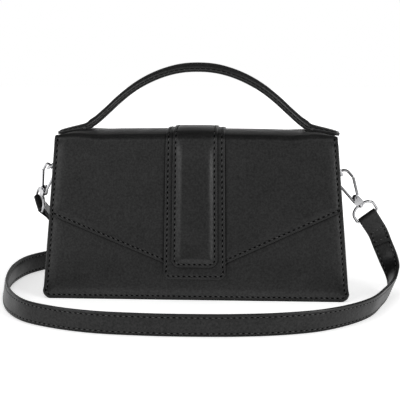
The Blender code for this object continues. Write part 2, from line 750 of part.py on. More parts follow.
def make_tab(name, side, split, step, top_hinge):
    """A sewn end: flat and domed on the flap's top, then curving up to meet the handle."""
    seat = FLAP_TOP + CLEARANCE
    stations = []
    for x, dome in ((TAB_END, TAB_END_DOME), (TAB_START, TAB_DOME)):
        stations.append((Vector((side * x, 0, seat)), Vector((0, 0, 1)), dome, HANDLE_WIDTH / 2))
    tip = split + CLEARANCE * 1.5
    for x in reversed(handle_places(tip, HANDLE_HALF_SPAN, CORNER_STEPS, (tip,))):
        point, up = handle_frame(side * x, step)
        point.z = max(point.z, seat)
        blend = (HANDLE_HALF_SPAN - x) / (HANDLE_HALF_SPAN - tip)
        up = (Vector((0, 0, 1)) * (1 - blend) + up * blend).normalized()
        end_dome = HANDLE_ROLL_THICKNESS * HANDLE_END_ROLL_SHARE + CLEARANCE
        dome = TAB_DOME + (end_dome - TAB_DOME) * blend
        stations.append((point, up, dome, tongue_half_width(x - tip)))
    rings = [section_ring(point, up, tab_section(half, dome)) for point, up, dome, half in stations]
    piece = add_object(name, rings_mesh(name, rings), black_leather(), top_hinge)
    ride_on_hinge(piece, top_hinge)


def ring_bar(side):
    """The middle of a ring's bar, which hangs in a loop that lies against the gusset's outer face."""
    height = BODY_HEIGHT - RING_BAR_DROP
    web = half_width(height) - SEAM_MARGIN
    return Vector((side * (web + CLEARANCE + LOOP_THICKNESS + CLEARANCE + RING_WIRE_RADIUS), 0, height))


def wire_loop(points, normal, radius):
    """Rings of a closed round wire that follows a flat loop of points."""
    rings = []
    count = len(points)
    normal = Vector(normal).normalized()
    for i in range(count):
        along = (points[(i + 1) % count] - points[i - 1]).normalized()
        side = along.cross(normal)
        rings.append([points[i] + side * a + normal * b for a, b in circle(radius, WIRE_SIDES)])
    return rings


def d_outline(half_width_, depth, bow_start, corner, crown=0):
    """A D from its straight bar, in (across, away from the bar), listed once round."""
    points = []
    for sign, order in ((1, 1), (-1, -1)):
        side = [(sign * a, b) for a, b in arc(half_width_ - corner, corner, corner, -90, 0, 3)]
        bow = []
        reach = half_width_ - crown
        for i in range(WIRE_STEPS):
            angle = math.pi / 2 * i / WIRE_STEPS
            across = crown + reach * math.cos(angle)
            bow.append((sign * across, bow_start + (depth - bow_start) * math.sin(angle)))
        if crown:
            bow.append((sign * crown, depth))
        half = side + [point for point in bow if point[1] > corner + CLEARANCE]
        if not crown and sign > 0:
            half.append((0, depth))
        points += half if order > 0 else list(reversed(half))
    return points


def make_ring(side, name, drop, parent):
    hinge = add_empty(f"{name}_axis", ring_bar(side), parent)
    away = Vector((side * math.cos(drop), 0, -math.sin(drop)))
    across = Vector((0, 1, 0))
    line = d_outline(RING_HALF_WIDTH, RING_DEPTH, RING_BOW_START, RING_CORNER_RADIUS)
    points = [across * a + away * b for a, b in line]
    rings = wire_loop(points, across.cross(away), RING_WIRE_RADIUS)
    add_object(name, rings_mesh(name, rings, closed=True), polished_metal(), hinge)


def ribbon_rings(line, thickness, width):
    """Rings of a flat band that follows a line of (x, z) points, its width along Y."""
    rings = []
    for i, (x, z) in enumerate(line):
        before, after = line[max(i - 1, 0)], line[min(i + 1, len(line) - 1)]
        along = Vector((after[0] - before[0], 0, after[1] - before[1])).normalized()
        out = Vector((along.z, 0, -along.x)) * thickness / 2
        edge = Vector((0, width / 2, 0))
        middle = Vector((x, 0, z))
        rings.append([middle - out - edge, middle + out - edge, middle + out + edge, middle - out + edge])
    return rings


def make_loop(side, name, parent):
    """A strip of leather folded round the ring's bar, both ends sewn flat on the gusset."""
    x, _, z = ring_bar(1)
    top = BODY_HEIGHT - LOOP_TOP_DROP
    bend = RING_WIRE_RADIUS + CLEARANCE + LOOP_THICKNESS / 2
    lean = (half_width(top) - half_width(z)) / (top - z)
    line = [(x - bend + lean * (top - z), top), (x - bend, z)]
    apart = LOOP_THICKNESS + CLEARANCE
    reach = math.hypot(LOOP_CLOSE_LENGTH, bend - apart)
    leaves = math.atan2(LOOP_CLOSE_LENGTH, apart - bend) - math.acos(bend / reach)
    line += arc(x, z, bend, 180, 360 + math.degrees(leaves), CORNER_STEPS * 3)[1:]
    closed = z + LOOP_CLOSE_LENGTH
    line.append((x - bend + apart + lean * (closed - z), closed))
    line.append((x - bend + apart + lean * (top - z), top))
    line = [(side * a, b) for a, b in line]
    add_object(name, rings_mesh(name, ribbon_rings(line, LOOP_THICKNESS, LOOP_WIDTH)), black_leather(), parent)


def tube_rings(points, radius, across):
    """Rings of an open round wire whose points lie in the plane square to a direction."""
    rings = []
    across = Vector(across).normalized()
    for i, point in enumerate(points):
        before, after = points[max(i - 1, 0)], points[min(i + 1, len(points) - 1)]
        along = (Vector(after) - Vector(before)).normalized()
        side = along.cross(across)
        rings.append([Vector(point) + side * a + across * b for a, b in circle(radius, WIRE_SIDES)])
    return rings


def hook_base(mirror):
    """The post's top centre in the hook's frame, and the post's upward direction."""
    place = Vector((mirror * HOOK_BASE_X, 0, -HOOK_SHANK_LENGTH))
    return place, Vector((mirror * math.sin(HOOK_POST_TILT), 0, math.cos(HOOK_POST_TILT)))


def pivot_place(mirror):
    return Vector((mirror * PIVOT_X, 0, -HOOK_SHANK_LENGTH + PIVOT_RISE))


def make_hook(side, parent):
    """A bent wire hook whose shank grows into a slotted base, bored for the gate pin and the post."""
    mirror = 1 if side == "right" else -1
    metal = polished_metal()
    bow = HOOK_BOW_RADIUS
    line = [(-bow, -HOOK_SHANK_LENGTH + CUT_OVERRUN / 2), (-bow, -HOOK_SHANK_LENGTH / 2)]
    line += list(reversed(arc(0, 0, bow, 0, 180, WIRE_STEPS)))
    line += [(bow, -HOOK_NOSE_LENGTH / 2), (bow, -HOOK_NOSE_LENGTH)]
    points = [Vector((mirror * x, 0, z)) for x, z in line]
    wire = add_object("hook_wire", rings_mesh("hook_wire", tube_rings(points, HOOK_WIRE_RADIUS, (0, 1, 0))), None, parent)
    base, up = hook_base(mirror)
    right = Vector((mirror * up.z, 0, -mirror * up.x))
    low, half = HOOK_BASE_DEPTH, HOOK_BASE_HALF_WIDTH
    pivot = pivot_place(mirror)
    shoulder = EAR_RADIUS
    outline = [base - right * half - up * low, base + right * half * 0.85 - up * low]
    outline += [base + right * half * 0.85, pivot + Vector((mirror * shoulder, 0, 0))]
    for i in range(1, CORNER_STEPS):
        angle = math.pi * i / CORNER_STEPS
        outline.append(pivot + Vector((mirror * shoulder * math.cos(angle), 0, shoulder * math.sin(angle))))
    outline.append(pivot - Vector((mirror * shoulder, 0, 0)))
    outline.append(Vector((-mirror * bow, 0, pivot.z)))
    outline.append(base - right * half)
    depth = Vector((0, HOOK_BASE_HALF_DEPTH, 0))
    name = f"snap_hook_{side}"
    rings = [[point - depth for point in outline], [point + depth for point in outline]]
    hook = add_object(name, rings_mesh(name, rings), metal, parent)
    slot_floor = base.z
    wall = -bow + HOOK_WIRE_RADIUS + CLEARANCE / 2
    reach = EAR_RADIUS * 2
    slot = []
    for y in (-EAR_SLOT_HALF_WIDTH, EAR_SLOT_HALF_WIDTH):
        corners = ((wall, 0), (reach, 0), (reach, 2 * reach), (wall, 2 * reach))
        slot.append([(mirror * a, y, slot_floor + b) for a, b in corners])
    cut(hook, add_object(f"slot_cutter_{side}", rings_mesh("slot", slot), None, parent))
    cut(hook, wire, "UNION")
    wire.name = f"hook_wire_cutter_{side}"
    long = HOOK_BASE_HALF_DEPTH * 2 + CUT_OVERRUN
    cut(hook, disc(f"pin_cutter_{side}", pivot, (0, 1, 0), PIN_RADIUS + CLEARANCE, long, None, parent))
    stem = HOOK_BASE_DEPTH + EYE_BOSS_LENGTH + 2 * CLEARANCE
    profile = [
        (-HOOK_BASE_DEPTH / 2, POST_RADIUS),
        (-stem, POST_RADIUS),
        (-stem, POST_HEAD_RADIUS),
        (-stem - POST_HEAD_THICKNESS / 2, POST_HEAD_RADIUS),
        (-stem - POST_HEAD_THICKNESS, POST_HEAD_RADIUS * 0.7),
    ]
    rings = []
    for along, radius in profile:
        middle = base + up * along
        rings.append([middle + right * a + Vector((0, 1, 0)) * b for a, b in circle(radius, ROUND_SIDES)])
    cut(hook, add_object(f"post_cutter_{side}", rings_mesh("post", rings), None, parent), "UNION")


def make_gate(side, parent):
    """The sprung lever that closes the hook, turning on a pin through the base's two ears."""
    mirror = 1 if side == "right" else -1
    pivot = pivot_place(1)
    nose = Vector((HOOK_BOW_RADIUS, 0, -HOOK_NOSE_LENGTH - CLEARANCE))
    root = Vector((PIVOT_X + GATE_ROOT_RADIUS * 1.6, 0, -HOOK_SHANK_LENGTH + GATE_ROOT_RISE))
    along = (nose - root).normalized()
    out = Vector((along.z, 0, -along.x)) * GATE_HALF_WIDTH
    tip = nose - along * GATE_HALF_WIDTH / 2
    outline = [tip + out, tip - out, root - out]
    for i in range(10):
        angle = math.radians(100 + 260 * i / 9)
        outline.append(pivot + Vector((math.cos(angle), 0, math.sin(angle))) * GATE_ROOT_RADIUS)
    outline.append(root + out)
    rings = []
    for y in (GATE_NEAR_SIDE, GATE_FAR_SIDE):
        rings.append([Vector((mirror * (p.x - pivot.x), y, p.z - pivot.z)) for p in outline])
    hinge = add_empty(f"gate_axis_{side}", pivot_place(mirror), parent)
    gate = add_object(f"hook_gate_{side}", rings_mesh("gate", rings), polished_metal(), hinge)
    long = GATE_FAR_SIDE - GATE_NEAR_SIDE + 2 * CUT_OVERRUN
    hole = disc(f"gate_cutter_{side}", (0, 0, 0), (0, 1, 0), PIN_RADIUS + CLEARANCE, long, None, hinge)
    cut(gate, hole)


def make_pin(side, parent):
    mirror = 1 if side == "right" else -1
    pivot = pivot_place(mirror)
    shaft = HOOK_BASE_HALF_DEPTH + CLEARANCE
    profile = [
        (-shaft - PIN_HEAD_THICKNESS, PIN_HEAD_RADIUS * 0.7),
        (-shaft - PIN_HEAD_THICKNESS / 2, PIN_HEAD_RADIUS),
        (-shaft, PIN_HEAD_RADIUS),
        (-shaft, PIN_RADIUS),
        (shaft, PIN_RADIUS),
        (shaft, PIN_HEAD_RADIUS),
        (shaft + PIN_HEAD_THICKNESS / 2, PIN_HEAD_RADIUS),
        (shaft + PIN_HEAD_THICKNESS, PIN_HEAD_RADIUS * 0.7),
    ]
    rings = [[(pivot.x + a, y, pivot.z + b) for a, b in circle(r, WIRE_SIDES * 2)] for y, r in profile]
    add_object(f"gate_pin_{side}", rings_mesh("pin", rings), polished_metal(), parent)


def make_spring(side, parent):
    """A small torsion coil on the gate's pin, with one leg along the gate and one in the base."""
    mirror = 1 if side == "right" else -1
    pivot = pivot_place(mirror)
    points = []
    sweep = SPRING_LAST_ANGLE - SPRING_FIRST_ANGLE
    steps = round(sweep / (2 * math.pi) * SPRING_STEPS)
    for i in range(steps + 1):
        angle = SPRING_FIRST_ANGLE + sweep * i / steps
        y = SPRING_START + SPRING_PITCH * sweep / (2 * math.pi) * i / steps
        points.append(Vector((mirror * SPRING_RADIUS * math.cos(angle), y, SPRING_RADIUS * math.sin(angle))))
    first = points[0] + (points[0] - points[1]).normalized() * SPRING_LEG
    last = points[-1] + (points[-1] - points[-2]).normalized() * SPRING_LEG
    points = [first] + points + [last]
    rings = []
    for i, point in enumerate(points):
        along = (points[min(i + 1, len(points) - 1)] - points[max(i - 1, 0)]).normalized()
        side_way = along.cross(Vector((0, 1, 0))).normalized()
        up = side_way.cross(along)
        rings.append([pivot + point + side_way * a + up * b for a, b in circle(SPRING_WIRE_RADIUS, 6)])
    add_object(f"gate_spring_{side}", rings_mesh("spring", rings), spring_steel(), parent)


def eye_frame(side):
    """The eye's place in the hook's frame: its crown's centre, upward axis and the way its bar runs."""
    spin = EYE_RIGHT_SPIN if side == "right" else EYE_LEFT_SPIN
    base, up = hook_base(1 if side == "right" else -1)
    crown = base - up * (HOOK_BASE_DEPTH + CLEARANCE + EYE_BOSS_LENGTH / 2)
    flat = Vector((up.z, 0, -up.x))
    return crown, up, flat * math.cos(spin) + Vector((0, 1, 0)) * math.sin(spin)


def make_eye(side, parent):
    """A D-shaped wire loop whose bored boss turns on the hook's headed post."""
    crown, up, across = eye_frame(side)
    shoulder = EYE_DEPTH - EYE_SHOULDER_DEPTH
    line = d_outline(EYE_HALF_WIDTH, EYE_DEPTH, shoulder, EYE_CORNER_RADIUS, EYE_CROWN_HALF_WIDTH)
    points = [crown + across * a - up * (EYE_DEPTH - b) for a, b in line]
    rings = wire_loop(points, across.cross(up), EYE_WIRE_RADIUS)
    name = f"swivel_eye_{side}"
    eye = add_object(name, rings_mesh(name, rings, closed=True), polished_metal(), parent)
    cut(eye, disc(f"boss_cutter_{side}", crown, up, EYE_BOSS_RADIUS, EYE_BOSS_LENGTH, None, parent), "UNION")
    bore_long = EYE_BOSS_LENGTH + CUT_OVERRUN
    cut(eye, disc(f"bore_cutter_{side}", crown, up, POST_RADIUS + CLEARANCE, bore_long, None, parent))


def clip_place(side):
    """The centre of a hook's bow in the bag's frame, and the hook's turn."""
    if side == "right":
        return ring_bar(1) + Vector(CLIP_RIGHT_FROM_BAR), CLIP_RIGHT_TURN
    return ring_bar(-1) + Vector(CLIP_LEFT_FROM_BAR), CLIP_LEFT_TURN


def clip_matrix(side):
    centre, turn = clip_place(side)
    return Matrix.Translation(centre) @ Euler(turn).to_matrix().to_4x4()


def eye_bar(side):
    """The eye's bar in the bag's frame: its centre and direction, pointing upwards."""
    place = clip_matrix(side)
    crown, up, across = eye_frame(side)
    centre = place @ (crown - up * EYE_DEPTH)
    run = place.to_3x3() @ across
    return centre, run if run.z > 0 else -run


def make_clip(side, parent):
    centre, turn = clip_place(side)
    frame = add_empty(f"clip_{side}", centre, parent, turn)
    make_hook(side, frame)
    make_gate(side, frame)
    make_pin(side, frame)
    make_spring(side, frame)
    make_eye(side, frame)


def hermite(start, end, leave, arrive, share):
    """A cubic's value between two points, its slopes given for the whole span."""
    t, t2, t3 = share, share ** 2, share ** 3
    return start * (2 * t3 - 3 * t2 + 1) + leave * (t3 - 2 * t2 + t) + end * (3 * t2 - 2 * t3) + arrive * (t3 - t2)


def slopes(values, gaps):
    """Change per length at every point of a line, each side weighed by how near its neighbour is."""
    result = [(values[1] - values[0]) / gaps[0]]
    for i in range(1, len(values) - 1):
        before = (values[i] - values[i - 1]) / gaps[i - 1]
        after = (values[i + 1] - values[i]) / gaps[i]
        result.append((before * gaps[i] + after * gaps[i - 1]) / (gaps[i - 1] + gaps[i]))
    return result + [(values[-1] - values[-2]) / gaps[-1]]


def smooth_route(points, count):
    """Evenly spaced places on a smooth curve through the route's points, each with its width's direction."""
    places = [place for place, _ in points]
    widths = [width for _, width in points]
    gaps = [(b - a).length for a, b in zip(places, places[1:])]
    place_slopes, width_slopes = slopes(places, gaps), slopes(widths, gaps)
    fine = []
    for i, gap in enumerate(gaps):
        for k in range(ROUTE_FINENESS):
            t = k / ROUTE_FINENESS
            pair = []
            for values, rates in ((places, place_slopes), (widths, width_slopes)):
                pair.append(hermite(values[i], values[i + 1], rates[i] * gap, rates[i + 1] * gap, t))
            fine.append(tuple(pair))
    fine.append(points[-1])
    lengths = [0.0]
    for a, b in zip(fine, fine[1:]):
        lengths.append(lengths[-1] + (b[0] - a[0]).length)
    stations, j = [], 0
    for i in range(count + 1):
        target = lengths[-1] * i / count
        while j < len(lengths) - 2 and lengths[j + 1] < target:
            j += 1
        share = min(max((target - lengths[j]) / (lengths[j + 1] - lengths[j]), 0), 1)
        stations.append((fine[j][0].lerp(fine[j + 1][0], share), fine[j][1].lerp(fine[j + 1][1], share)))
    return stations


def framed(stations):
    """Adds each station's outward direction, square to the path and to the width."""
    result = []
    for i, (place, width) in enumerate(stations):
        before, after = stations[max(i - 1, 0)][0], stations[min(i + 1, len(stations) - 1)][0]
        along = (after - before).normalized()
        width = (width - along * width.dot(along)).normalized()
        result.append((place, width.cross(along), width))
    return result


def strap_end(side):
    """Where the strap's end lies beside an eye's bar: its place, width, outward way and the way it leaves."""
    centre, run = eye_bar(side)
    leaves = Vector(STRAP_RIGHT_LEAVES if side == "right" else STRAP_LEFT_LEAVES)
    leaves = (leaves - run * leaves.dot(run)).normalized()
    travel = leaves if side == "right" else -leaves
    out = run.cross(travel).normalized()
    bend = EYE_WIRE_RADIUS + CLEARANCE + FOLD_THICKNESS
    shift = out * (bend - STRAP_THICKNESS / 2)
    return centre, leaves, out, run, shift


def strap_path():
    """Stations from the right eye to the left one. The strap leaves each eye straight for a short way."""
    ends = {}
    for side in ("right", "left"):
        centre, leaves, _, run, shift = strap_end(side)
        start = centre + shift + leaves * (FOLD_START + 2 * CLEARANCE)
        ends[side] = [(start, run), (start + leaves * STRAP_LEAD, run)]
    middle = [(Vector(place), Vector(width).normalized()) for place, width in STRAP_ROUTE]
    return framed(smooth_route(ends["right"] + middle + list(reversed(ends["left"])), STRAP_STATIONS))


def strap_section():
    t, w, b = STRAP_THICKNESS / 2, STRAP_WIDTH / 2, STRAP_BEVEL
    return [(-t, -w + b), (-t + b, -w), (t - b, -w), (t, -w + b), (t, w - b), (t - b, w), (-t + b, w), (-t, w - b)]


def make_strap(path, parent):
    rings = [[place + out * a + width * b for a, b in strap_section()] for place, out, width in path]
    add_object("shoulder_strap", rings_mesh("shoulder_strap", rings), painted_edge_leather(), parent)


def make_fold(side, path, parent):
    """The strap's end, turned round the eye's bar and sewn back on the strap's inner face."""
    centre, leaves, out, run, shift = strap_end(side)
    bend = EYE_WIRE_RADIUS + CLEARANCE + FOLD_THICKNESS / 2
    stations = [(centre + leaves * FOLD_START + out * bend, out), (centre + leaves * FOLD_START / 2 + out * bend, out)]
    for a, b in arc(0, 0, bend, 90, 270, CORNER_STEPS * 2):
        way = (leaves * a + out * b).normalized()
        stations.append((centre + leaves * a + out * b, way))
    stations = [(place, way, run) for place, way in stations]
    ordered = path if side == "right" else list(reversed(path))
    walked, last = 0.0, ordered[0][0]
    lie = (STRAP_THICKNESS + FOLD_THICKNESS) / 2 + CLEARANCE
    for place, way, width in ordered:
        walked += (place - last).length
        last = place
        if walked > FOLD_LENGTH:
            break
        if walked > FOLD_CLOSE_LENGTH:
            stations.append((place - way * lie, -way, width))
    t, w = FOLD_THICKNESS / 2, STRAP_WIDTH / 2
    section = ((-t, -w), (t, -w), (t, w), (-t, w))
    rings = [[place + way * a + width * b for a, b in section] for place, way, width in stations]
    name = f"strap_fold_{side}"
    add_object(name, rings_mesh(name, rings), painted_edge_leather(), parent)


def build():
    clear_scene()
    frame = add_empty("bag_frame", (0, MIDDLE_Y, 0))
    make_panels(frame)
    make_gusset(frame)
    make_board(frame)
    make_lining(frame)
    make_pocket(frame)
    top_hinge = add_empty("flap_top_axis", (0, CREASE_HALF_DEPTH, FLAP_TOP), frame)
    front_hinge = add_empty("flap_front_axis", (0, -CREASE_HALF_DEPTH, FLAP_TOP), frame)
    make_flap(frame, top_hinge, front_hinge)
    make_strips(frame, top_hinge, front_hinge)
    make_flap_magnet(front_hinge)
    handle_axis = (0, -CREASE_HALF_DEPTH, HANDLE_JOINT_RISE + HANDLE_JOINT_MIDDLE)
    handle_hinge = add_empty("handle_axis", handle_axis, top_hinge)
    make_handle(handle_hinge, top_hinge)
    for side, name in ((1, "right"), (-1, "left")):
        make_loop(side, f"ring_loop_{name}", frame)
        drop = RING_DROP_RIGHT if side > 0 else RING_DROP_LEFT
        make_ring(side, f"d_ring_{name}", drop, frame)
        make_clip(name, frame)
    path = strap_path()
    make_strap(path, frame)
    for name in ("right", "left"):
        make_fold(name, path, frame)
    bpy.context.view_layer.update()


build()
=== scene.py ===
"""Looks of the crossbody bag: leather skins, stitching, chrome and studio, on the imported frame."""

import itertools
import math

import bmesh
import bpy
from mathutils import Euler, Matrix, Vector, noise


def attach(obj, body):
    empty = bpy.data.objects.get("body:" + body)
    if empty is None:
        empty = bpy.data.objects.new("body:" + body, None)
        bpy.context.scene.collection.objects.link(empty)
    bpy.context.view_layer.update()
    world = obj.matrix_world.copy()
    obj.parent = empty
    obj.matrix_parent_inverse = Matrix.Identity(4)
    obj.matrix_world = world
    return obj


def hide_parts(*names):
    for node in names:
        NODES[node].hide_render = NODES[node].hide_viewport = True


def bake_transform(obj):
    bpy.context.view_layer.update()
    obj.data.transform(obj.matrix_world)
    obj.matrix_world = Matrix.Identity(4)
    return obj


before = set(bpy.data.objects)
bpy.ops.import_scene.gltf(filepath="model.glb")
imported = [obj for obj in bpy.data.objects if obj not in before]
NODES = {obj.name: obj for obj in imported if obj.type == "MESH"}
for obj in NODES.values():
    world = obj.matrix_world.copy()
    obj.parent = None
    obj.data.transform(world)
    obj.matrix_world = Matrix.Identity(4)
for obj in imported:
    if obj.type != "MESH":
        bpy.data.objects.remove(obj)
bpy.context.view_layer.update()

# Sizes repeated from part.py, in metres
CLEARANCE = 0.0003
BODY_HEIGHT = 0.1297
BASE_WIDTH = 0.250
TOP_WIDTH = 0.2282
BASE_DEPTH = 0.072
TOP_DEPTH = 0.0466
PANEL_THICKNESS = 0.0022
PANEL_CORNER_RADIUS = 0.006
SEAM_MARGIN = 0.0055
GUSSET_THICKNESS = 0.0014
GUSSET_CORNER_RADIUS = 0.009
GUSSET_TOP_DROP = 0.0037
LINING_THICKNESS = 0.0007
LINING_TOP_DROP = 0.0015
BOARD_THICKNESS = 0.0016
POCKET_WIDTH = 0.120
POCKET_BOTTOM = 0.045
POCKET_TOP = 0.102
COVER_OUT = 0.0028
FLAP_SIDE_INSET = 0.0008
FLAP_LAP = 0.022
STRIP_OUT = 0.0047
PAD_RIM = 0.0062
PAD_OUT = 0.0084
STRIP_BASE_WIDTH = 0.0502
STRIP_TOP_WIDTH = 0.047
STRIP_END_HEIGHT = 0.0188
STRIP_CORNER_RADIUS = 0.005
STRIP_BACK_LENGTH = 0.020
PAD_BASE_WIDTH = 0.0372
PAD_TOP_WIDTH = 0.0354
PAD_END_HEIGHT = 0.0287
PAD_CORNER_RADIUS = 0.006
PAD_BACK_LENGTH = 0.014
HANDLE_WIDTH = 0.018
FLANGE = 0.0024
ROLL_INSET = 0.0022
RING_WIRE = 0.0013
RING_BAR_DROP = 0.0197
LOOP_WIDTH = 0.015
LOOP_THICKNESS = 0.0014
LOOP_TOP_DROP = 0.0062
LOOP_CLOSE_LENGTH = 0.006
HOOK_SHANK_LENGTH = 0.0238
HOOK_POST_TILT = math.radians(8)
HOOK_BASE_X = -0.0034
HOOK_BASE_DEPTH = 0.0026
EYE_WIRE = 0.00115
EYE_DEPTH = 0.0125
EYE_BOSS_LENGTH = 0.0026
CLIP_FROM_BAR = {"right": (0.00754, 0.0, -0.0139), "left": (-0.01024, 0.0003, -0.0102)}
CLIP_TURN = {
    "right": (math.radians(0.8), math.radians(-42.6), math.radians(17.6)),
    "left": (math.radians(12.1), math.radians(46.1), math.radians(-38.0)),
}
EYE_SPIN = {"right": math.radians(-6), "left": math.radians(-17)}
STRAP_WIDTH = 0.0166
STRAP_THICKNESS = 0.0028
STRAP_STATIONS = 330
FOLD_THICKNESS = 0.0015
FOLD_LENGTH = 0.026
FOLD_START = 0.0045
FOLD_CLOSE_LENGTH = 0.004
STRAP_LEAD = 0.013
ROUTE_FINENESS = 16
# The strap's middle line, and the way its width points where that isn't straight up
STRAP_ROUTE = [
    (0.1562, 0.0102, 0.0385, 0.68, 0.08, 0.73), (0.1608, 0.0065, 0.0275, 0.58, -0.05, 0.8),
    (0.1637, -0.001, 0.0178, 0.46, -0.22, 0.86), (0.1622, -0.013, 0.0112, 0.32, -0.32, 0.9),
    (0.157, -0.029, 0.0088, 0.24, -0.28, 0.93), (0.15, -0.047, 0.0085, 0.2, -0.26, 0.94),
    (0.137, -0.0755, 0.0085, 0.12, -0.22, 0.97), (0.119, -0.096, 0.0086, 0.06, -0.18, 0.98),
    (0.096, -0.112, 0.0087, 0.02, -0.08, 1.0), (0.066, -0.122, 0.0087, 0.0, -0.02, 1.0),
    (0.0375, -0.1265, 0.0087), (0.0087, -0.1282, 0.0087), (-0.035, -0.1275, 0.0087),
    (-0.072, -0.123, 0.0087), (-0.101, -0.1132, 0.0087),
    (-0.125, -0.0985, 0.0087, 0.05, 0.06, 1.0), (-0.141, -0.0765, 0.0086, 0.12, 0.12, 0.98),
    (-0.152, -0.048, 0.0086, 0.16, 0.06, 0.98), (-0.1582, -0.015, 0.0086, 0.14, 0.0, 0.99),
    (-0.159, 0.014, 0.0087, 0.08, 0.0, 1.0), (-0.153, 0.041, 0.0087), (-0.134, 0.065, 0.0087),
    (-0.104, 0.082, 0.0087), (-0.062, 0.093, 0.0087), (-0.015, 0.0975, 0.0087),
    (0.032, 0.096, 0.0087), (0.065, 0.089, 0.0087), (0.08, 0.074, 0.0087), (0.07, 0.058, 0.0087),
    (0.04, 0.0505, 0.0087), (0.0, 0.0505, 0.0088), (-0.04, 0.0545, 0.01, 0.0, 0.04, 1.0),
    (-0.078, 0.0605, 0.015, -0.04, 0.1, 1.0), (-0.108, 0.062, 0.026, -0.12, 0.22, 0.96),
    (-0.127, 0.053, 0.0405, -0.24, 0.46, 0.84),
]
STRAP_LEAVES = {"left": (0.22, 0.80, -0.55), "right": (0.52, 0.20, -0.83)}

# Looks only: the flap's V and where it starts on each side
V_CORNER = {-1: 0.0691, 1: 0.0735}
V_POINT_HALF_WIDTH = 0.0256
V_POINT_HEIGHT = 0.0315
V_END_HALF_WIDTH = 0.0125
V_END_HEIGHT = 0.0235
V_CORNER_RADIUS = 0.0042
BASE_ROUND = 0.0027

# Looks only: how the leather is filled, crowned and pressed
BULGE = 0.0010
BULGE_WOBBLE = 0.00022
BULGE_HALF_WIDTH = 0.122
BULGE_HEIGHT = 0.127
BULGE_FADE = (0.012, 0.022)
TOP_HALF_DEPTH = 0.0235
TOP_CROWN = 0.0022
TOP_FADE = (0.108, 0.128)
TAB_DISH = 0.0018
TOP_EDGE = [
    (-0.030, 0.0013), (0.0, 0.0014), (0.030, 0.0013), (0.060, 0.0010), (0.079, 0.0008),
    (0.087, 0.0015), (0.0935, 0.0022), (0.100, 0.0021), (0.107, 0.0017), (0.1133, 0.0009),
    (0.117, -0.0004),
]
HANDLE_UNDERSIDE = [
    (-0.0146, 0.0495), (0.0, 0.0506), (0.0146, 0.0495), (0.0244, 0.0472), (0.0342, 0.0436),
    (0.0440, 0.0388), (0.0535, 0.0328), (0.0633, 0.0250), (0.0732, 0.0160), (0.0832, 0.0073),
    (0.0876, 0.0043), (0.0953, 0.0029), (0.1046, 0.0012), (0.1152, -0.0009),
]
ROLL_RISE = [
    (-0.015, 0.0049), (0.0, 0.0050), (0.015, 0.0049), (0.0244, 0.0047), (0.034, 0.0046),
    (0.044, 0.0044), (0.054, 0.0041), (0.064, 0.0040), (0.074, 0.0039), (0.081, 0.0041),
    (0.0874, 0.0043), (0.0900, 0.0037), (0.0935, 0.0024), (0.0975, 0.0019), (0.1026, 0.0016),
    (0.1097, 0.0011), (0.1152, 0.0007),
]
HANDLE_SHIFT = 0.0010
HANDLE_STEP = 0.0014
TAB_REACH = 0.1152
TAB_CORNER_RADIUS = 0.004
# How far before the tab's end its corner rows, the roll and the stitch rows stop
TAB_CORNER_START = 0.0042
ROLL_END = 0.0022
SEAM_END = 0.0024
WRAP_PLACE = 0.0925
WRAP_GAP = 0.0007
PAINT_ROUND = 0.00045
PAINT_LINE = 0.00012

# Looks only: sewing
THREAD_SIDES = 7
HOLE_SIDES = 8
STITCH_PITCH = 0.0043
STITCH_LIFT = 0.00016
STITCH_MARGIN = 0.0026
STRIP_STITCH_MARGIN = 0.0023
PAD_STITCH_MARGIN = 0.0024
PANEL_STITCH_MARGIN = 0.0034
HANDLE_STITCH_MARGIN = 0.00125
LOOP_STITCH_PITCH = 0.0029
POCKET_STITCH_PITCH = 0.0032
HOLE_RADIUS = 0.00098
STRAP_HOLE_RADIUS = 0.00080
HANDLE_THREAD = 0.00026
STRAP_SEAM = STRAP_WIDTH / 2 - 0.0024

# Looks only: the lining bag and what is sewn in it
LINING_CORNER_RADIUS = 0.0065
FACING_THICKNESS = 0.0006
FACING_HEIGHT = 0.014
POCKET_THICKNESS = 0.0007
POCKET_RADIUS = 0.008
POCKET_HEM = 0.009

# How fast rubbed wear fades away from an edge
EDGE_WEAR = 0.0011
STRAP_WEAR = 0.0006
FLANGE_WEAR = 0.0005


def half_depth(z):
    return (BASE_DEPTH + (TOP_DEPTH - BASE_DEPTH) * z / BODY_HEIGHT) / 2


def half_width(z):
    return (BASE_WIDTH + (TOP_WIDTH - BASE_WIDTH) * z / BODY_HEIGHT) / 2


FLAP_TOP = BODY_HEIGHT + COVER_OUT
MIDDLE_Y = (half_depth(PAD_END_HEIGHT + 0.004) + PAD_OUT - half_depth(0)) / 2
LEAN = math.atan((BASE_DEPTH - TOP_DEPTH) / 2 / BODY_HEIGHT)
SWEEP = math.pi / 2 - LEAN
TANGENT = BASE_ROUND * math.tan(SWEEP / 2)
FLAT = half_depth(BODY_HEIGHT) - TANGENT
ARC = (BASE_ROUND + COVER_OUT) * SWEEP


# Camera

CAMERA_TURN, CAMERA_PITCH = math.radians(2.88), math.radians(10.44)
CAMERA_PLACE = (0.0426, -0.7940, 0.2235)
LENS, SENSOR = 87.45, 36


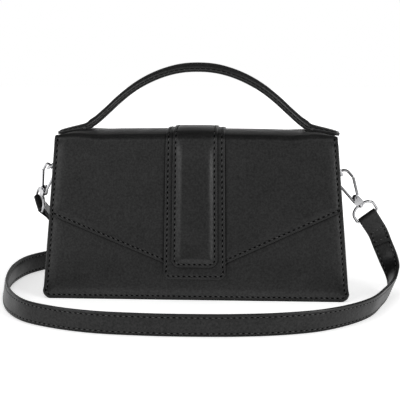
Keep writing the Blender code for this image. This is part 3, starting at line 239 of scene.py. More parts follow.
def make_camera():
    """The photograph's viewpoint: a little right of the bag's middle, looking slightly down."""
    data = bpy.data.cameras.new("camera")
    camera = bpy.data.objects.new("camera", data)
    bpy.context.collection.objects.link(camera)
    ahead = Vector((-math.sin(CAMERA_TURN) * math.cos(CAMERA_PITCH),
                    math.cos(CAMERA_TURN) * math.cos(CAMERA_PITCH), -math.sin(CAMERA_PITCH)))
    right = Vector((math.cos(CAMERA_TURN), math.sin(CAMERA_TURN), 0))
    up = right.cross(ahead)
    rows = zip(right, up, -ahead, CAMERA_PLACE)
    camera.matrix_world = Matrix((*rows, (0, 0, 0, 1)))
    data.sensor_width = data.sensor_height = SENSOR
    data.lens = LENS
    data.clip_start = 0.01
    bpy.context.scene.camera = camera


# Small helpers

def grey(value):
    return (value, value, value)


def smoothstep(low, high, value):
    t = min(max((value - low) / (high - low), 0), 1)
    return t * t * (3 - 2 * t)


def wobble(x, y, z, size, seed=0.0):
    """Smooth noise between -1 and 1, its bumps about this size."""
    return noise.noise(Vector((x / size + seed, y / size + seed * 1.7, z / size - seed)))


def evenly(low, high, count):
    """The ends of this many equal steps from low to high."""
    return [low + (high - low) * i / count for i in range(count + 1)]


def turn(count):
    """This many angles, evenly round a circle."""
    return [2 * math.pi * k / count for k in range(count)]


def beside(line, i):
    """The neighbours of a line's i-th entry, or the entry itself at the line's ends."""
    return line[max(i - 1, 0)], line[min(i + 1, len(line) - 1)]


def steps_along(lengths, count):
    """Equal steps on a line with these running lengths: each one's span, and its share of it."""
    j = 0
    for i in range(count + 1):
        target = lengths[-1] * i / count
        while j < len(lengths) - 2 and lengths[j + 1] < target:
            j += 1
        span = lengths[j + 1] - lengths[j]
        yield j, 0.0 if span == 0 else min(max((target - lengths[j]) / span, 0), 1)


def running(gaps):
    return list(itertools.accumulate(gaps, initial=0.0))


def walk(points, step):
    """Evenly spaced places on a line of points, near this step apart, ends included."""
    lengths = running(math.dist(a, b) for a, b in zip(points, points[1:]))
    count = max(1, round(lengths[-1] / step))
    return [tuple(a + (b - a) * t for a, b in zip(points[j], points[j + 1]))
            for j, t in steps_along(lengths, count)]


def walk_spots(line, ups, pitch):
    """Evenly spaced places on a line, each with the outward way of the line's nearest point."""
    spots, j = [], 0
    for place in walk([tuple(p) for p in line], pitch):
        at = Vector(place)
        while j < len(line) - 2 and (line[j + 1] - at).length < (line[j] - at).length:
            j += 1
        spots.append((at, ups[j]))
    return spots


def hermite(start, end, leave, arrive, t):
    return (start * (2 * t ** 3 - 3 * t ** 2 + 1) + leave * (t ** 3 - 2 * t ** 2 + t)
            + end * (3 * t ** 2 - 2 * t ** 3) + arrive * (t ** 3 - t ** 2))


def slopes(values, gaps):
    """A smooth line's rate of change at each of its values."""
    rates = [(b - a) / gap for a, b, gap in zip(values, values[1:], gaps)]
    inner = [(before * late + after * early) / (early + late)
             for before, after, early, late in zip(rates, rates[1:], gaps, gaps[1:])]
    return rates[:1] + inner + rates[-1:]


def curve(table):
    """A smooth line through a table's (place, value) pairs, level beyond its ends."""
    places, values = zip(*table)
    gaps = [b - a for a, b in zip(places, places[1:])]
    rates = slopes(values, gaps)

    def value(x):
        if x <= places[0]:
            return values[0]
        for i, gap in enumerate(gaps):
            if x <= places[i + 1]:
                t = (x - places[i]) / gap
                return hermite(values[i], values[i + 1], rates[i] * gap, rates[i + 1] * gap, t)
        return values[-1]

    return value


top_edge = curve(TOP_EDGE)
handle_underside = curve(HANDLE_UNDERSIDE)
roll_rise = curve(ROLL_RISE)


# Meshes

def shade(mesh, sharp):
    """Smooth shading; edges sharper than this angle in degrees stay crisp, and with 0 none does."""
    mesh.shade_smooth()
    if sharp:
        mesh.set_sharp_from_angle(angle=math.radians(sharp))


class Shape:
    """Collects points and faces, each face with its material's place in the list."""

    def __init__(self):
        self.points, self.faces, self.marks, self.wear = [], [], [], []

    def add_points(self, points, wear=None):
        first = len(self.points)
        self.points += [Vector(p) for p in points]
        self.wear += wear or [0.0] * len(points)
        return list(range(first, len(self.points)))

    def face(self, corners, mark=0):
        self.faces.append(tuple(corners))
        self.marks.append(mark)

    def bridge(self, a, b, mark=0, closed=False, marks=None):
        """Quads between two rows of the same count; marks gives each its own material."""
        for k in range(len(a) if closed else len(a) - 1):
            n = (k + 1) % len(a)
            self.face((a[k], a[n], b[n], b[k]), marks[k] if marks else mark)

    def rings(self, rings, mark=0, marks=None, wear=None):
        """Skin over closed rings of points, its two ends closed."""
        rows = [self.add_points(ring, wear and wear[i]) for i, ring in enumerate(rings)]
        for here, there in zip(rows, rows[1:]):
            self.bridge(here, there, mark, True, marks)
        self.face(reversed(rows[0]), mark)
        self.face(rows[-1], mark)

    def make(self, name, materials, sharp=50):
        """The mesh object. The bag's middle plane is y = 0 here and MIDDLE_Y in the frame."""
        mesh = bpy.data.meshes.new(name)
        mesh.from_pydata([(p[0], p[1] + MIDDLE_Y, p[2]) for p in self.points], [], self.faces)
        for material in materials:
            mesh.materials.append(material)
        mesh.polygons.foreach_set("material_index", self.marks)
        mesh.attributes.new("wear", "FLOAT", "POINT").data.foreach_set("value", self.wear)
        mesh.validate()
        work = bmesh.new()
        work.from_mesh(mesh)
        bmesh.ops.recalc_face_normals(work, faces=work.faces)
        work.to_mesh(mesh)
        work.free()
        shade(mesh, sharp)
        mesh.update()
        thing = bpy.data.objects.new(name, mesh)
        bpy.context.collection.objects.link(thing)
        return thing


# Where leather lies over the body

def top_crown(x):
    """How far the flap's top rises from its creases to its middle; the tabs press it down."""
    tabs = 0.85 * smoothstep(0.080, 0.0935, x)
    crown = TOP_CROWN * (1 - tabs - 0.15 * smoothstep(0.0935, 0.107, x))
    return crown - TAB_DISH * smoothstep(0.098, 0.112, x)


def settle(point):
    """The body's faces swell between their sewn edges, and its top is crowned both ways."""
    x, y, z = point
    across = min(abs(y) / TOP_HALF_DEPTH, 1)
    crown = top_edge(abs(x)) + top_crown(abs(x)) * (1 - across ** 2)
    z += crown * smoothstep(*TOP_FADE, z)
    share = smoothstep(*BULGE_FADE, abs(y))
    if share == 0 or not 0 < z < BULGE_HEIGHT:
        return Vector((x, y, z))
    across = max(0.0, 1 - (x / BULGE_HALF_WIDTH) ** 2)
    height = math.sin(math.pi * (z / BULGE_HEIGHT)) ** 0.8
    swell = BULGE * across * height
    swell += BULGE_WOBBLE * wobble(x, 0, z, 0.045, 3.1) * across * height
    return Vector((x, y + math.copysign(swell * share, y), z))


def profile(side, u, d):
    """Place and outward way in (y, z) at a length u from the top's middle, d outside the body."""
    if u <= FLAT:
        y, z, n = u, BODY_HEIGHT, (0.0, 1.0)
    elif u <= FLAT + ARC:
        angle = (u - FLAT) / ARC * SWEEP
        n = (math.sin(angle), math.cos(angle))
        y, z = FLAT + n[0] * BASE_ROUND, BODY_HEIGHT - BASE_ROUND + n[1] * BASE_ROUND
    else:
        w = u - FLAT - ARC + TANGENT
        n = (math.cos(LEAN), math.sin(LEAN))
        y, z = half_depth(BODY_HEIGHT) + w * n[1], BODY_HEIGHT - w * n[0]
    return (side * (y + n[0] * d), z + n[1] * d), (side * n[0], n[1])


def layer_spot(side, x, u, d):
    """A place d outside the body, and the way outward there."""
    (y, z), way = profile(side, u, d)
    return settle(Vector((x, y, z))), Vector((0, *way))


def u_at(z, d=COVER_OUT):
    """The length along the profile at which a layer's face is at a height."""
    w = (BODY_HEIGHT - z + d * math.sin(LEAN)) / math.cos(LEAN) - TANGENT
    return FLAT + ARC + w


def z_at(u, d=COVER_OUT):
    return profile(1, u, d)[0][1]


def edge_distance(x, u, outline):
    """How far a place on a sheet is from its outline."""
    best = 1.0
    for (ax, au), (bx, bu) in zip(outline, outline[1:]):
        dx, du = bx - ax, bu - au
        length = dx * dx + du * du
        t = 0.0 if length == 0 else min(max(((x - ax) * dx + (u - au) * du) / length, 0), 1)
        best = min(best, math.hypot(x - ax - dx * t, u - au - du * t))
    return best


def inset_line(points, amount):
    """A line of (x, u) points moved sideways, to the left of its way, with mitred corners."""
    result = []
    for i, (x, u) in enumerate(points):
        ways = []
        for a, b in ((i - 1, i), (i, i + 1)):
            if a < 0 or b >= len(points):
                continue
            dx, du = points[b][0] - points[a][0], points[b][1] - points[a][1]
            size = math.hypot(dx, du)
            if size > 1e-9:
                ways.append((-du / size, dx / size))
        nx = sum(w[0] for w in ways) / len(ways)
        nu = sum(w[1] for w in ways) / len(ways)
        size = max(math.hypot(nx, nu), 0.5)
        scale = amount / size / size
        result.append((x + nx * scale, u + nu * scale))
    return result


def rim_levels(r):
    """Steps down a sheet's edge: how far out, how far up, and the share of its thickness."""
    def rounded(way, share, *angles):
        return [(r * math.sin(a), way * r * (1 - math.cos(a)), share)
                for a in map(math.radians, angles)]

    seam = [(r, 0, 0.44), (r - PAINT_LINE, 0, 0.5), (r, 0, 0.56)]
    flat = [(r, -r, 0.0), *seam, (r, r, 1.0)]
    return rounded(-1, 0.0, 25, 50, 75) + flat + rounded(1, 1.0, 65, 35)


class Sheet:
    """A leather sheet over one side of the body: its outline, thickness and relief."""

    def __init__(self, side, start, half, end, columns, d_in, d_out, closed=False, radius=0.0005,
                 relief=None, rows_between=34, sink=None):
        self.side, self.start, self.half, self.end = side, start, half, end
        self.columns, self.d_in, self.d_out = columns, d_in, d_out
        self.closed, self.relief, self.sink = closed, relief, sink
        self.rows_between = rows_between
        self.radius = min(radius, (d_out - d_in) / 2.05)
        self.edges = self.outline()

    def top_rows(self):
        """Rows from the start over the crease."""
        if self.closed or self.start >= FLAT:
            return [self.start + (self.radius if self.closed else 0)]
        count = max(2, round((FLAT - self.start) / 0.003))
        rows = evenly(self.start, FLAT, count)[:-1] + [FLAT + ARC * i / 10 for i in range(11)]
        return rows + [FLAT + ARC + s for s in (0.0008, 0.002)]

    def column_points(self, x_end):
        """The (x, u) places of one column, from the start to the end."""
        u_end = self.end(x_end)
        share = x_end / self.half(u_end)
        limit = u_end - self.radius * self.end_slope(x_end)
        rows = self.top_rows()
        base, n = rows[-1], self.rows_between
        for i in range(1, n + 1):
            t = i / n
            if i == n:
                t = 1.0
            elif self.closed:
                t = t - 0.13 * math.sin(2 * math.pi * t) / 2
            else:
                t = 1 - (1 - t) ** 1.35 * (1 - 0.1 * t)
            rows.append(base + (limit - base) * t)
        return [(share * (self.half(u) - self.radius), u) for u in rows]

    def end_slope(self, x):
        step = 0.0004
        if abs(x) + step > self.half(self.end(x)):
            return 1.0
        return min(math.hypot(1, (self.end(x + step) - self.end(x - step)) / (2 * step)), 2.5)

    def outline(self):
        """The true outline: down the right side, along the end, up the left side."""
        line = [(self.half(u), u) for u in evenly(self.start, self.end(max(self.columns)), 12)]
        line += [(x, self.end(x)) for x in reversed(self.columns)]
        line += [(-self.half(u), u) for u in evenly(self.end(min(self.columns)), self.start, 12)]
        if self.closed:
            line.append(line[0])
        clean = [line[0]]
        for p in line[1:]:
            if math.dist(p, clean[-1]) > 1e-5:
                clean.append(p)
        return clean

    def height(self, x, u):
        """How far the outer face stands off the body there."""
        if self.relief is None:
            return self.d_out
        return self.d_out + self.relief(x, u, edge_distance(x, u, self.edges))

    def depth(self, u):
        """How far the inner face stands off the body there."""
        return self.d_in + (self.sink(u) if self.sink else 0.0)

    def place(self, x, u, d):
        return layer_spot(self.side, x, u, d)[0]

    def spot(self, x, u):
        """Place and outward way on the outer face, for the sewing."""
        return layer_spot(self.side, x, u, self.height(x, u))

    def rim(self, grid):
        """The grid's outermost places in order, from the left of the start round the end."""
        last, rows = len(grid) - 1, len(grid[0])
        rim = [(0, j) for j in range(rows)] + [(i, rows - 1) for i in range(1, last + 1)]
        rim += [(last, j) for j in range(rows - 2, -1, -1)]
        return rim + [(i, 0) for i in range(last - 1, 0, -1)] if self.closed else rim

    def build(self, name, materials):
        shape = Shape()
        grid = [self.column_points(x) for x in self.columns]
        outer, inner = [], []
        for column in grid:
            wear = [math.exp(-max(edge_distance(x, u, self.edges) - self.radius, 0) / EDGE_WEAR)
                    for x, u in column]
            outer.append(shape.add_points([self.spot(x, u)[0] for x, u in column], wear))
            lower = [self.place(x, u, self.depth(u)) for x, u in column]
            inner.append(shape.add_points(lower, wear))
        for a, b in zip(outer, outer[1:]):
            shape.bridge(a, b, 0)
        for a, b in zip(inner, inner[1:]):
            shape.bridge(a, b, 2 if len(materials) > 2 else 0)
        rim = self.rim(grid)
        flat = [grid[i][j] for i, j in rim]
        ways = []
        for k in range(len(flat)):
            before, after = beside(flat, k)
            if self.closed:
                before, after = flat[k - 1], flat[(k + 1) % len(flat)]
            dx, du = after[0] - before[0], after[1] - before[1]
            size = math.hypot(dx, du) or 1
            ways.append((-du / size, dx / size))
        loops = [[outer[i][j] for i, j in rim]]
        for out, lift, share in rim_levels(self.radius):
            points = []
            for (x, u), (wx, wu) in zip(flat, ways):
                top = self.height(x, u)
                d = top + (self.depth(u) - top) * share + lift
                points.append(self.place(x + wx * out, u + wu * out, d))
            loops.append(shape.add_points(points, [1.0] * len(points)))
        loops.append([inner[i][j] for i, j in rim])
        for a, b in zip(loops, loops[1:]):
            shape.bridge(a, b, 1, self.closed)
        if not self.closed:
            cap = [column[0] for column in outer] + [loop[-1] for loop in loops[1:-1]]
            cap += [column[0] for column in reversed(inner)]
            shape.face(cap + [loop[0] for loop in reversed(loops[1:-1])], 1)
        return shape.make(name, materials)


# Sewing

class Sewing:
    """Thread dashes that dip into a needle hole at each end, all in one piece."""

    # A dash's middle line: share of its length, share of its rise (None dips), share of its radius
    DASH = ((0, None, 0.55), (0.10, 0.35, 0.85), (0.28, 0.9, 1.0), (0.5, 1.0, 1.05),
            (0.72, 0.9, 1.0), (0.90, 0.35, 0.85), (1, None, 0.55))

    def __init__(self):
        self.shape = Shape()

    def stitch(self, a, b, up, radius=0.00025, rise=0.00016, sink=0.00022, slant=0.0):
        """One thread dash from a to b, arched away from the leather."""
        along = b - a
        length = along.length
        along.normalize()
        across = along.cross(up).normalized()
        up = across.cross(along).normalized()
        turned = (along + across * slant).normalized()
        start = (a + b) / 2 - turned * length / 2
        rings = []
        for t, h, r in self.DASH:
            centre = start + turned * length * t + up * (-sink if h is None else rise * h)
            rings.append([centre + across * math.cos(angle) * radius * r * 1.15
                          + up * math.sin(angle) * radius * r for angle in turn(THREAD_SIDES)])
        self.shape.rings(rings)

    def hole(self, place, up, along, radius, slant):
        """A needle hole in painted shade, slanted like its threads: a flat near-black cone just over
        the leather.
        """
        lift = 0.00005
        across = along.cross(up).normalized()
        ahead = (up.cross(across) + across * slant).normalized()
        across = ahead.cross(up).normalized()
        rim = self.shape.add_points([
            place + up * lift + across * math.cos(angle) * radius * 0.60
            + ahead * math.sin(angle) * radius for angle in turn(HOLE_SIDES)])
        tip = self.shape.add_points([place + up * (lift + 0.00003)])[0]
        for a, b in zip(rim, rim[1:] + rim[:1]):
            self.shape.face((a, b, tip), 1)

    def run(self, spots, share=0.42, slant=0.30, hole_radius=HOLE_RADIUS, **sizes):
        """Stitches between neighbouring spots, each a place and its outward way."""
        for (a, up_a), (b, up_b) in zip(spots, spots[1:]):
            up = ((up_a + up_b) / 2).normalized()
            if (up_b - up_a).dot(b - a) > 0:
                bulge = up * ((b - a).length / 2 * math.tan(up_a.angle(up_b) / 4))
                a, b = a + bulge, b + bulge
            gap = (b - a) * (1 - share) / 2
            self.stitch(a + gap, b - gap, up, slant=slant, **sizes)
        for i, (place, up) in enumerate(spots):
            before, after = beside(spots, i)
            self.hole(place, up, (after[0] - before[0]).normalized(), hole_radius, slant)

    def make(self, name):
        return self.shape.make(name, [THREAD, HOLE_AND_SEAM_SHADE], sharp=0)


def sew_round(sheet, name, margin, start=-1.0):
    """A stitch row inside a sheet's outline, where it is further along the profile than start."""
    line = inset_line(sheet.edges[:-1] if sheet.closed else sheet.edges, margin)
    spots = [sheet.spot(x, u) for x, u in walk([p for p in line if p[1] > start], STITCH_PITCH)]
    sewing = Sewing()
    sewing.run([(place + up * STITCH_LIFT, up) for place, up in spots])
    return sewing.make(name)


def inner_spots(side, line, pitch, d):
    """Spots for sewing on a layer's face that looks into the bag."""
    spots = [layer_spot(side, x, u, d) for x, u in walk(line, pitch)]
    return [(place, -up) for place, up in spots]


# Materials

MIX_A, MIX_B, MIX_RESULT = 6, 7, 2  # a mix node's sockets for colours
# The near-black that painted shade mixes into the leather and the edge paint, in crevices and under
# overhanging edges
PAINTED_SHADE = grey(0.0008)
RUBBED = 0.4


class Tree:
    """Small helper for the nodes of a material or the world."""

    def __init__(self, owner):
        owner.use_nodes = True
        self.owner = owner
        self.nodes, self.links = owner.node_tree.nodes, owner.node_tree.links
        self.shader = self.nodes.get("Principled BSDF")
        self.coordinates = self.nodes.new("ShaderNodeTexCoord").outputs
        self.place = self.coordinates["Object"]

    def give(self, socket, value):
        """A value for a socket: another socket to link, a colour or a number."""
        if isinstance(value, bpy.types.NodeSocket):
            self.links.new(value, socket)
        else:
            socket.default_value = (*value, 1.0) if isinstance(value, tuple) else value

    def node(self, kind, **inputs):
        node = self.nodes.new("ShaderNode" + kind)
        for name, value in inputs.items():
            self.give(node.inputs[name.replace("_", " ")], value)
        return node

    def set(self, **values):
        for name, value in values.items():
            self.give(self.shader.inputs[name.replace("_", " ")], value)

    def noise(self, scale, detail=3.0, rough=0.55, distortion=0.0):
        node = self.node("TexNoise", Vector=self.place, Scale=scale, Detail=detail, Roughness=rough,
                         Distortion=distortion)
        return node.outputs["Fac"]

    def cells(self, scale, feature="SMOOTH_F1"):
        node = self.node("TexVoronoi", Vector=self.place, Scale=scale)
        node.feature = feature
        return node.outputs["Distance"]

    def math(self, kind, a, b):
        node = self.node("Math")
        node.operation = kind
        self.give(node.inputs[0], a)
        self.give(node.inputs[1], b)
        return node.outputs[0]

    def ramp(self, value, low, high, to_low=0.0, to_high=1.0, smooth=False):
        node = self.node("MapRange", Value=value, From_Min=low, From_Max=high, To_Min=to_low,
                         To_Max=to_high)
        if smooth:
            node.interpolation_type = "SMOOTHSTEP"
        return node.outputs[0]

    def spread(self, value, to_low, to_high):
        """Noise stretched over this range."""
        return self.ramp(value, 0.3, 0.7, to_low, to_high)

    def mix(self, share, a, b):
        node = self.node("Mix", Factor=share)
        node.data_type = "RGBA"
        self.give(node.inputs[MIX_A], a)
        self.give(node.inputs[MIX_B], b)
        return node.outputs[MIX_RESULT]

    def bump(self, height, strength, distance):
        node = self.node("Bump", Strength=strength, Distance=distance, Height=height)
        self.set(Normal=node.outputs["Normal"])

    def open_share_for_painted_shade(self, distance=0.0035):
        """1 in the open, near 0 in crevices and right under an overhanging edge: the mask for the
        shade that the materials paint there.
        """
        node = self.node("AmbientOcclusion", Distance=distance)
        node.samples = 8
        return self.ramp(node.outputs["AO"], 0.42, 0.92)

    def attribute(self, name):
        node = self.node("Attribute")
        node.attribute_name = name
        return node.outputs["Fac"]

    def any_of(self, *kinds):
        """1 for rays of any of these kinds."""
        path = self.node("LightPath").outputs
        out = path[kinds[0]]
        for kind in kinds[1:]:
            out = self.math("MAXIMUM", out, path[kind])
        return out


def leather(name, dark=0.0035, light=0.0135, rough=(0.33, 0.43), grain=1.0, specular=0.40):
    """Smooth calf leather: fine pebbles and pores, faint mottling, edges rubbed a little paler, and
    painted shade in crevices and under overhanging edges.
    """
    t = Tree(bpy.data.materials.new(name))
    broad = t.ramp(t.noise(28, 4, 0.6), 0.34, 0.66)
    fine = t.ramp(t.noise(420, 3, 0.6), 0.35, 0.68)
    tone = t.math("ADD", t.math("MULTIPLY", broad, 0.4), t.math("MULTIPLY", fine, 0.6))
    rub = t.math("MULTIPLY", t.attribute("wear"), t.spread(t.noise(160, 3), 0.4 * RUBBED, RUBBED))
    colour = t.mix(rub, t.mix(tone, grey(dark), grey(light)), grey(0.025))
    # Painted shade: ambient occlusion darkens the colour towards near-black and takes away the gloss
    # in crevices, round stitches and under overhanging edges
    clear = t.open_share_for_painted_shade()
    folds = t.ramp(t.cells(210, "DISTANCE_TO_EDGE"), 0.0, 0.12)
    height = t.math("ADD", t.math("MULTIPLY", t.cells(1150), 0.55),
                    t.math("MULTIPLY", t.noise(2600, 2, 0.5), 0.35))
    t.bump(t.math("ADD", height, t.math("MULTIPLY", folds, 0.16)), 0.34 * grain, 0.00022)
    shine = t.ramp(t.noise(620, 4, 0.7), 0.36, 0.64, specular * 0.70, specular * 1.30)
    t.set(Base_Color=t.mix(clear, PAINTED_SHADE, colour), Roughness=t.spread(t.noise(75, 4), *rough),
          Specular_IOR_Level=t.math("MULTIPLY", shine, clear), Sheen_Weight=0.10,
          Sheen_Roughness=0.32)
    return t.owner


def painted_edge(name, dark, light):
    """Edge paint: smoother and a little glossier than the leather, with faint drag marks, and
    painted shade where it is tucked in.
    """
    t = Tree(bpy.data.materials.new(name))
    # Painted shade: ambient occlusion over a short distance darkens the paint to near-black and
    # takes away its gloss where the edge is tucked in
    clear = t.open_share_for_painted_shade(0.0010)
    paint = t.mix(t.ramp(t.noise(300, 2), 0.35, 0.65), grey(dark), grey(light))
    t.set(Base_Color=t.mix(clear, PAINTED_SHADE, paint), Roughness=t.spread(t.noise(220, 2), 0.28, 0.42),
          Specular_IOR_Level=t.math("MULTIPLY", clear, 0.42))
    t.bump(t.noise(700, 2), 0.15, 0.0001)
    return t.owner


def suede():
    """The flesh side: short nap, dull."""
    t = Tree(bpy.data.materials.new("flesh_side"))
    nap = t.noise(900, 4, 0.7, 0.3)
    t.set(Base_Color=t.mix(t.spread(nap, 0.0, 1.0), (0.012, 0.012, 0.013), (0.026, 0.026, 0.027)),
          Roughness=t.spread(t.noise(60, 3), 0.82, 0.95),
          Specular_IOR_Level=0.15, Sheen_Weight=0.25, Sheen_Roughness=0.5)
    t.bump(nap, 0.5, 0.0002)
    return t.owner


def woven():
    """Plain-woven lining cloth."""
    t = Tree(bpy.data.materials.new("lining_weave"))
    bands = []
    for axis in ("X", "Z"):
        node = t.node("TexWave", Vector=t.place, Scale=520, Distortion=0.4)
        node.bands_direction = axis
        bands.append(node.outputs["Fac"])
    weave = t.math("MAXIMUM", *bands)
    slub = t.noise(90, 4)
    tone = t.math("MULTIPLY", weave, slub)
    t.set(Base_Color=t.mix(tone, (0.014, 0.014, 0.015), (0.042, 0.042, 0.045)),
          Roughness=t.spread(slub, 0.75, 0.9), Specular_IOR_Level=0.25, Sheen_Weight=0.15)
    t.bump(weave, 0.5, 0.00015)
    return t.owner


def metal(name, colour, rough, scratch):
    """Plated metal with faint wipe marks."""
    t = Tree(bpy.data.materials.new(name))
    faint = t.spread(t.noise(140, 4, 0.6), 0.0, 1.0)
    lighter = tuple(min(1.0, c * 1.06) for c in colour)
    t.set(Metallic=1.0, Base_Color=t.mix(faint, colour, lighter),
          Roughness=t.spread(t.noise(350, 3), *rough))
    t.bump(t.noise(1500, 2), scratch, 0.00005)
    return t.owner


def board_material():
    t = Tree(bpy.data.materials.new("greyboard"))
    fibre = t.noise(500, 5, 0.7, 0.6)
    t.set(Base_Color=t.mix(t.spread(fibre, 0.0, 1.0), (0.12, 0.105, 0.09), (0.2, 0.18, 0.155)),
          Roughness=t.spread(fibre, 0.75, 0.92))
    t.bump(fibre, 0.4, 0.0002)
    return t.owner


def thread_material():
    """Waxed polyester thread, its twist seen as fine slanted ridges."""
    t = Tree(bpy.data.materials.new("thread"))
    twist = t.noise(2200, 2, 0.5, 0.8)
    t.set(Base_Color=t.mix(t.ramp(twist, 0.35, 0.65), grey(0.018), grey(0.055)),
          Roughness=t.spread(twist, 0.26, 0.40), Specular_IOR_Level=0.75)
    t.bump(twist, 0.5, 0.00012)
    return t.owner


# Painted shade: a near-black, unreflecting colour that stands in for the depth of each needle hole,
# and for the crevice at the foot of the handle's roll
def hole_material():
    t = Tree(bpy.data.materials.new("hole_and_seam_shade"))
    t.set(Base_Color=t.mix(t.noise(900, 2), grey(0.0006), grey(0.0016)),
          Roughness=t.spread(t.noise(500, 2), 0.85, 0.98), Specular_IOR_Level=0.0)
    return t.owner


LEATHER = leather("leather")
PAD_LEATHER = leather("pad_leather", rough=(0.30, 0.39))
# Painted light: a paler, glossier copy of the leather for the handle's roll, so that the roll reads
# as more lit than the flap
ROLL_LEATHER_PAINTED_LIGHT = leather("roll_leather_painted_light", 0.006, 0.016, rough=(0.32, 0.42), grain=0.6, specular=0.46)
STRAP_LEATHER = leather("strap_leather", 0.0022, 0.0085, rough=(0.36, 0.47), specular=0.34)
EDGE = painted_edge("edge_paint", 0.007, 0.014)
# Painted light: a paler copy of the edge paint for the handle's strap, standing in for the light its
# edges catch
HANDLE_EDGE_PAINTED_LIGHT = painted_edge("handle_edge_paint_painted_light", 0.016, 0.030)
FLESH = suede()
FABRIC = woven()
THREAD = thread_material()
HOLE_AND_SEAM_SHADE = hole_material()
CHROME = metal("chrome", (0.45, 0.45, 0.46), (0.08, 0.16), 0.04)
STEEL = metal("spring_steel", (0.48, 0.48, 0.50), (0.22, 0.34), 0.1)
MAGNET = metal("magnet_plate", (0.42, 0.42, 0.43), (0.28, 0.42), 0.15)
BOARD = board_material()
SKIN = [LEATHER, EDGE, FLESH]
PAD_SKIN = [PAD_LEATHER, EDGE, FLESH]
CLOTH = [FABRIC, FABRIC, FABRIC]


# Shoulder strap

def ring_bar(side):
    """Middle of the bar on which a D-ring hangs in its loop."""
    height = BODY_HEIGHT - RING_BAR_DROP
    web = half_width(height) - SEAM_MARGIN
    sign = 1 if side == "right" else -1
    return Vector((sign * (web + CLEARANCE + LOOP_THICKNESS + CLEARANCE + RING_WIRE), 0, height))


def eye_bar(side):
    """Middle of a swivel eye's bar, and the way it runs upward."""
    mirror = 1 if side == "right" else -1
    centre = ring_bar(side) + Vector(CLIP_FROM_BAR[side])
    clip = Matrix.Translation(centre) @ Euler(CLIP_TURN[side]).to_matrix().to_4x4()
    base = Vector((mirror * HOOK_BASE_X, 0, -HOOK_SHANK_LENGTH))
    up = Vector((mirror * math.sin(HOOK_POST_TILT), 0, math.cos(HOOK_POST_TILT)))
    crown = base - up * (HOOK_BASE_DEPTH + CLEARANCE + EYE_BOSS_LENGTH / 2)
    spin = EYE_SPIN[side]
    across = Vector((up.z, 0, -up.x)) * math.cos(spin) + Vector((0, 1, 0)) * math.sin(spin)
    run = clip.to_3x3() @ across
    return clip @ (crown - up * EYE_DEPTH), run if run.z > 0 else -run


def smooth_route(points, count):
    """Evenly spaced stations on a smooth line through (place, width's way) pairs."""
    places, widths = zip(*points)
    gaps = [(b - a).length for a, b in zip(places, places[1:])]
    tracks = [(values, slopes(values, gaps)) for values in (places, widths)]
    fine = []
    for i, gap in enumerate(gaps):
        for k in range(ROUTE_FINENESS):
            fine.append([hermite(values[i], values[i + 1], rates[i] * gap, rates[i + 1] * gap,
                                 k / ROUTE_FINENESS) for values, rates in tracks])
    fine.append(points[-1])
    lengths = running((b[0] - a[0]).length for a, b in zip(fine, fine[1:]))
    stations = [[a.lerp(b, share) for a, b in zip(fine[j], fine[j + 1])]
                for j, share in steps_along(lengths, count)]
    return stations, lengths[-1]


def strap_end(side):
    """Where a strap's end meets its eye: bar, way it leaves, outward way, bar's run, offset."""
    centre, run = eye_bar(side)
    leaves = Vector(STRAP_LEAVES[side])
    leaves = (leaves - run * leaves.dot(run)).normalized()
    out = run.cross(leaves if side == "right" else -leaves).normalized()
    bend = EYE_WIRE + CLEARANCE + FOLD_THICKNESS
    return centre, leaves, out, run, out * (bend - STRAP_THICKNESS / 2)


def strap_path():
    """The strap's stations (place, outward way, width's way) and its length."""
    ends = {}
    for side in ("right", "left"):
        centre, leaves, _, run, shift = strap_end(side)
        start = centre + shift + leaves * (FOLD_START + 2 * CLEARANCE)
        ends[side] = [(start, run), (start + leaves * STRAP_LEAD, run)]
    middle = [(Vector(row[:3]), Vector(row[3:] or (0, 0, 1)).normalized()) for row in STRAP_ROUTE]
    stations, length = smooth_route(ends["right"] + middle + ends["left"][::-1], STRAP_STATIONS)
    path = []
    for i, (place, width) in enumerate(stations):
        before, after = beside(stations, i)
        along = (after[0] - before[0]).normalized()
        width = (width - along * width.dot(along)).normalized()
        path.append((place, width.cross(along), width))
    return path, length


def strap_skin(name, stations, face, edge, half, tip=(1.0, 1.0)):
    """A band of leather along stations, from half of a face's and one edge's (thickness, width)."""
    face = face + [(a, -b) for a, b in reversed(face[:-1])]
    section = face + edge + [(-a, -b) for a, b in face + edge]
    n, m = len(face), len(edge)
    marks = [0 if k < n - 1 or n + m <= k < 2 * n + m - 1 else 1 for k in range(len(section))]
    wear = [math.exp(-(half - abs(b)) / STRAP_WEAR) for _, b in section]
    rings = []
    for i, (place, out, width) in enumerate(stations):
        thin, narrow = tip if i == len(stations) - 1 else (1.0, 1.0)
        rings.append([place + out * a * thin + width * b * narrow for a, b in section])
    shape = Shape()
    shape.rings(rings, 1, marks, [wear] * len(rings))
    return shape.make(name, [STRAP_LEATHER, EDGE], sharp=40)


def make_strap():
    """The strap with a sunk seam near each painted edge, sewn on both faces."""
    path, length = strap_path()
    t, w = STRAP_THICKNESS / 2, STRAP_WIDTH / 2
    face = [(t - 0.00012, -w + 0.00045), (t - 0.00002, -w + 0.0010),
            (t - 0.00003, -STRAP_SEAM - 0.0007), (t - 0.00016, -STRAP_SEAM),
            (t - 0.00003, -STRAP_SEAM + 0.0008), (t + 0.00006, -STRAP_SEAM + 0.0022),
            (t + 0.00009, 0.0)]
    edge = [(t - 0.00038, w - 0.00008), (0.00015, w), (0.0, w - 0.00014), (-0.00015, w),
            (-t + 0.00038, w - 0.00008)]
    strap = strap_skin("shoulder_strap_leather", path, face, edge, w)
    sewing = Sewing()
    for side in (1, -1):
        for row in (-1, 1):
            line = [place + out * side * (t - 0.00012) + width * row * STRAP_SEAM
                    for place, out, width in path]
            spots = walk_spots(line, [out * side for _, out, _ in path], STITCH_PITCH)[1:-1]
            sewing.run(spots, slant=0.12 * row * side, hole_radius=STRAP_HOLE_RADIUS)
    return path, length, strap, sewing.make("shoulder_strap_stitching")


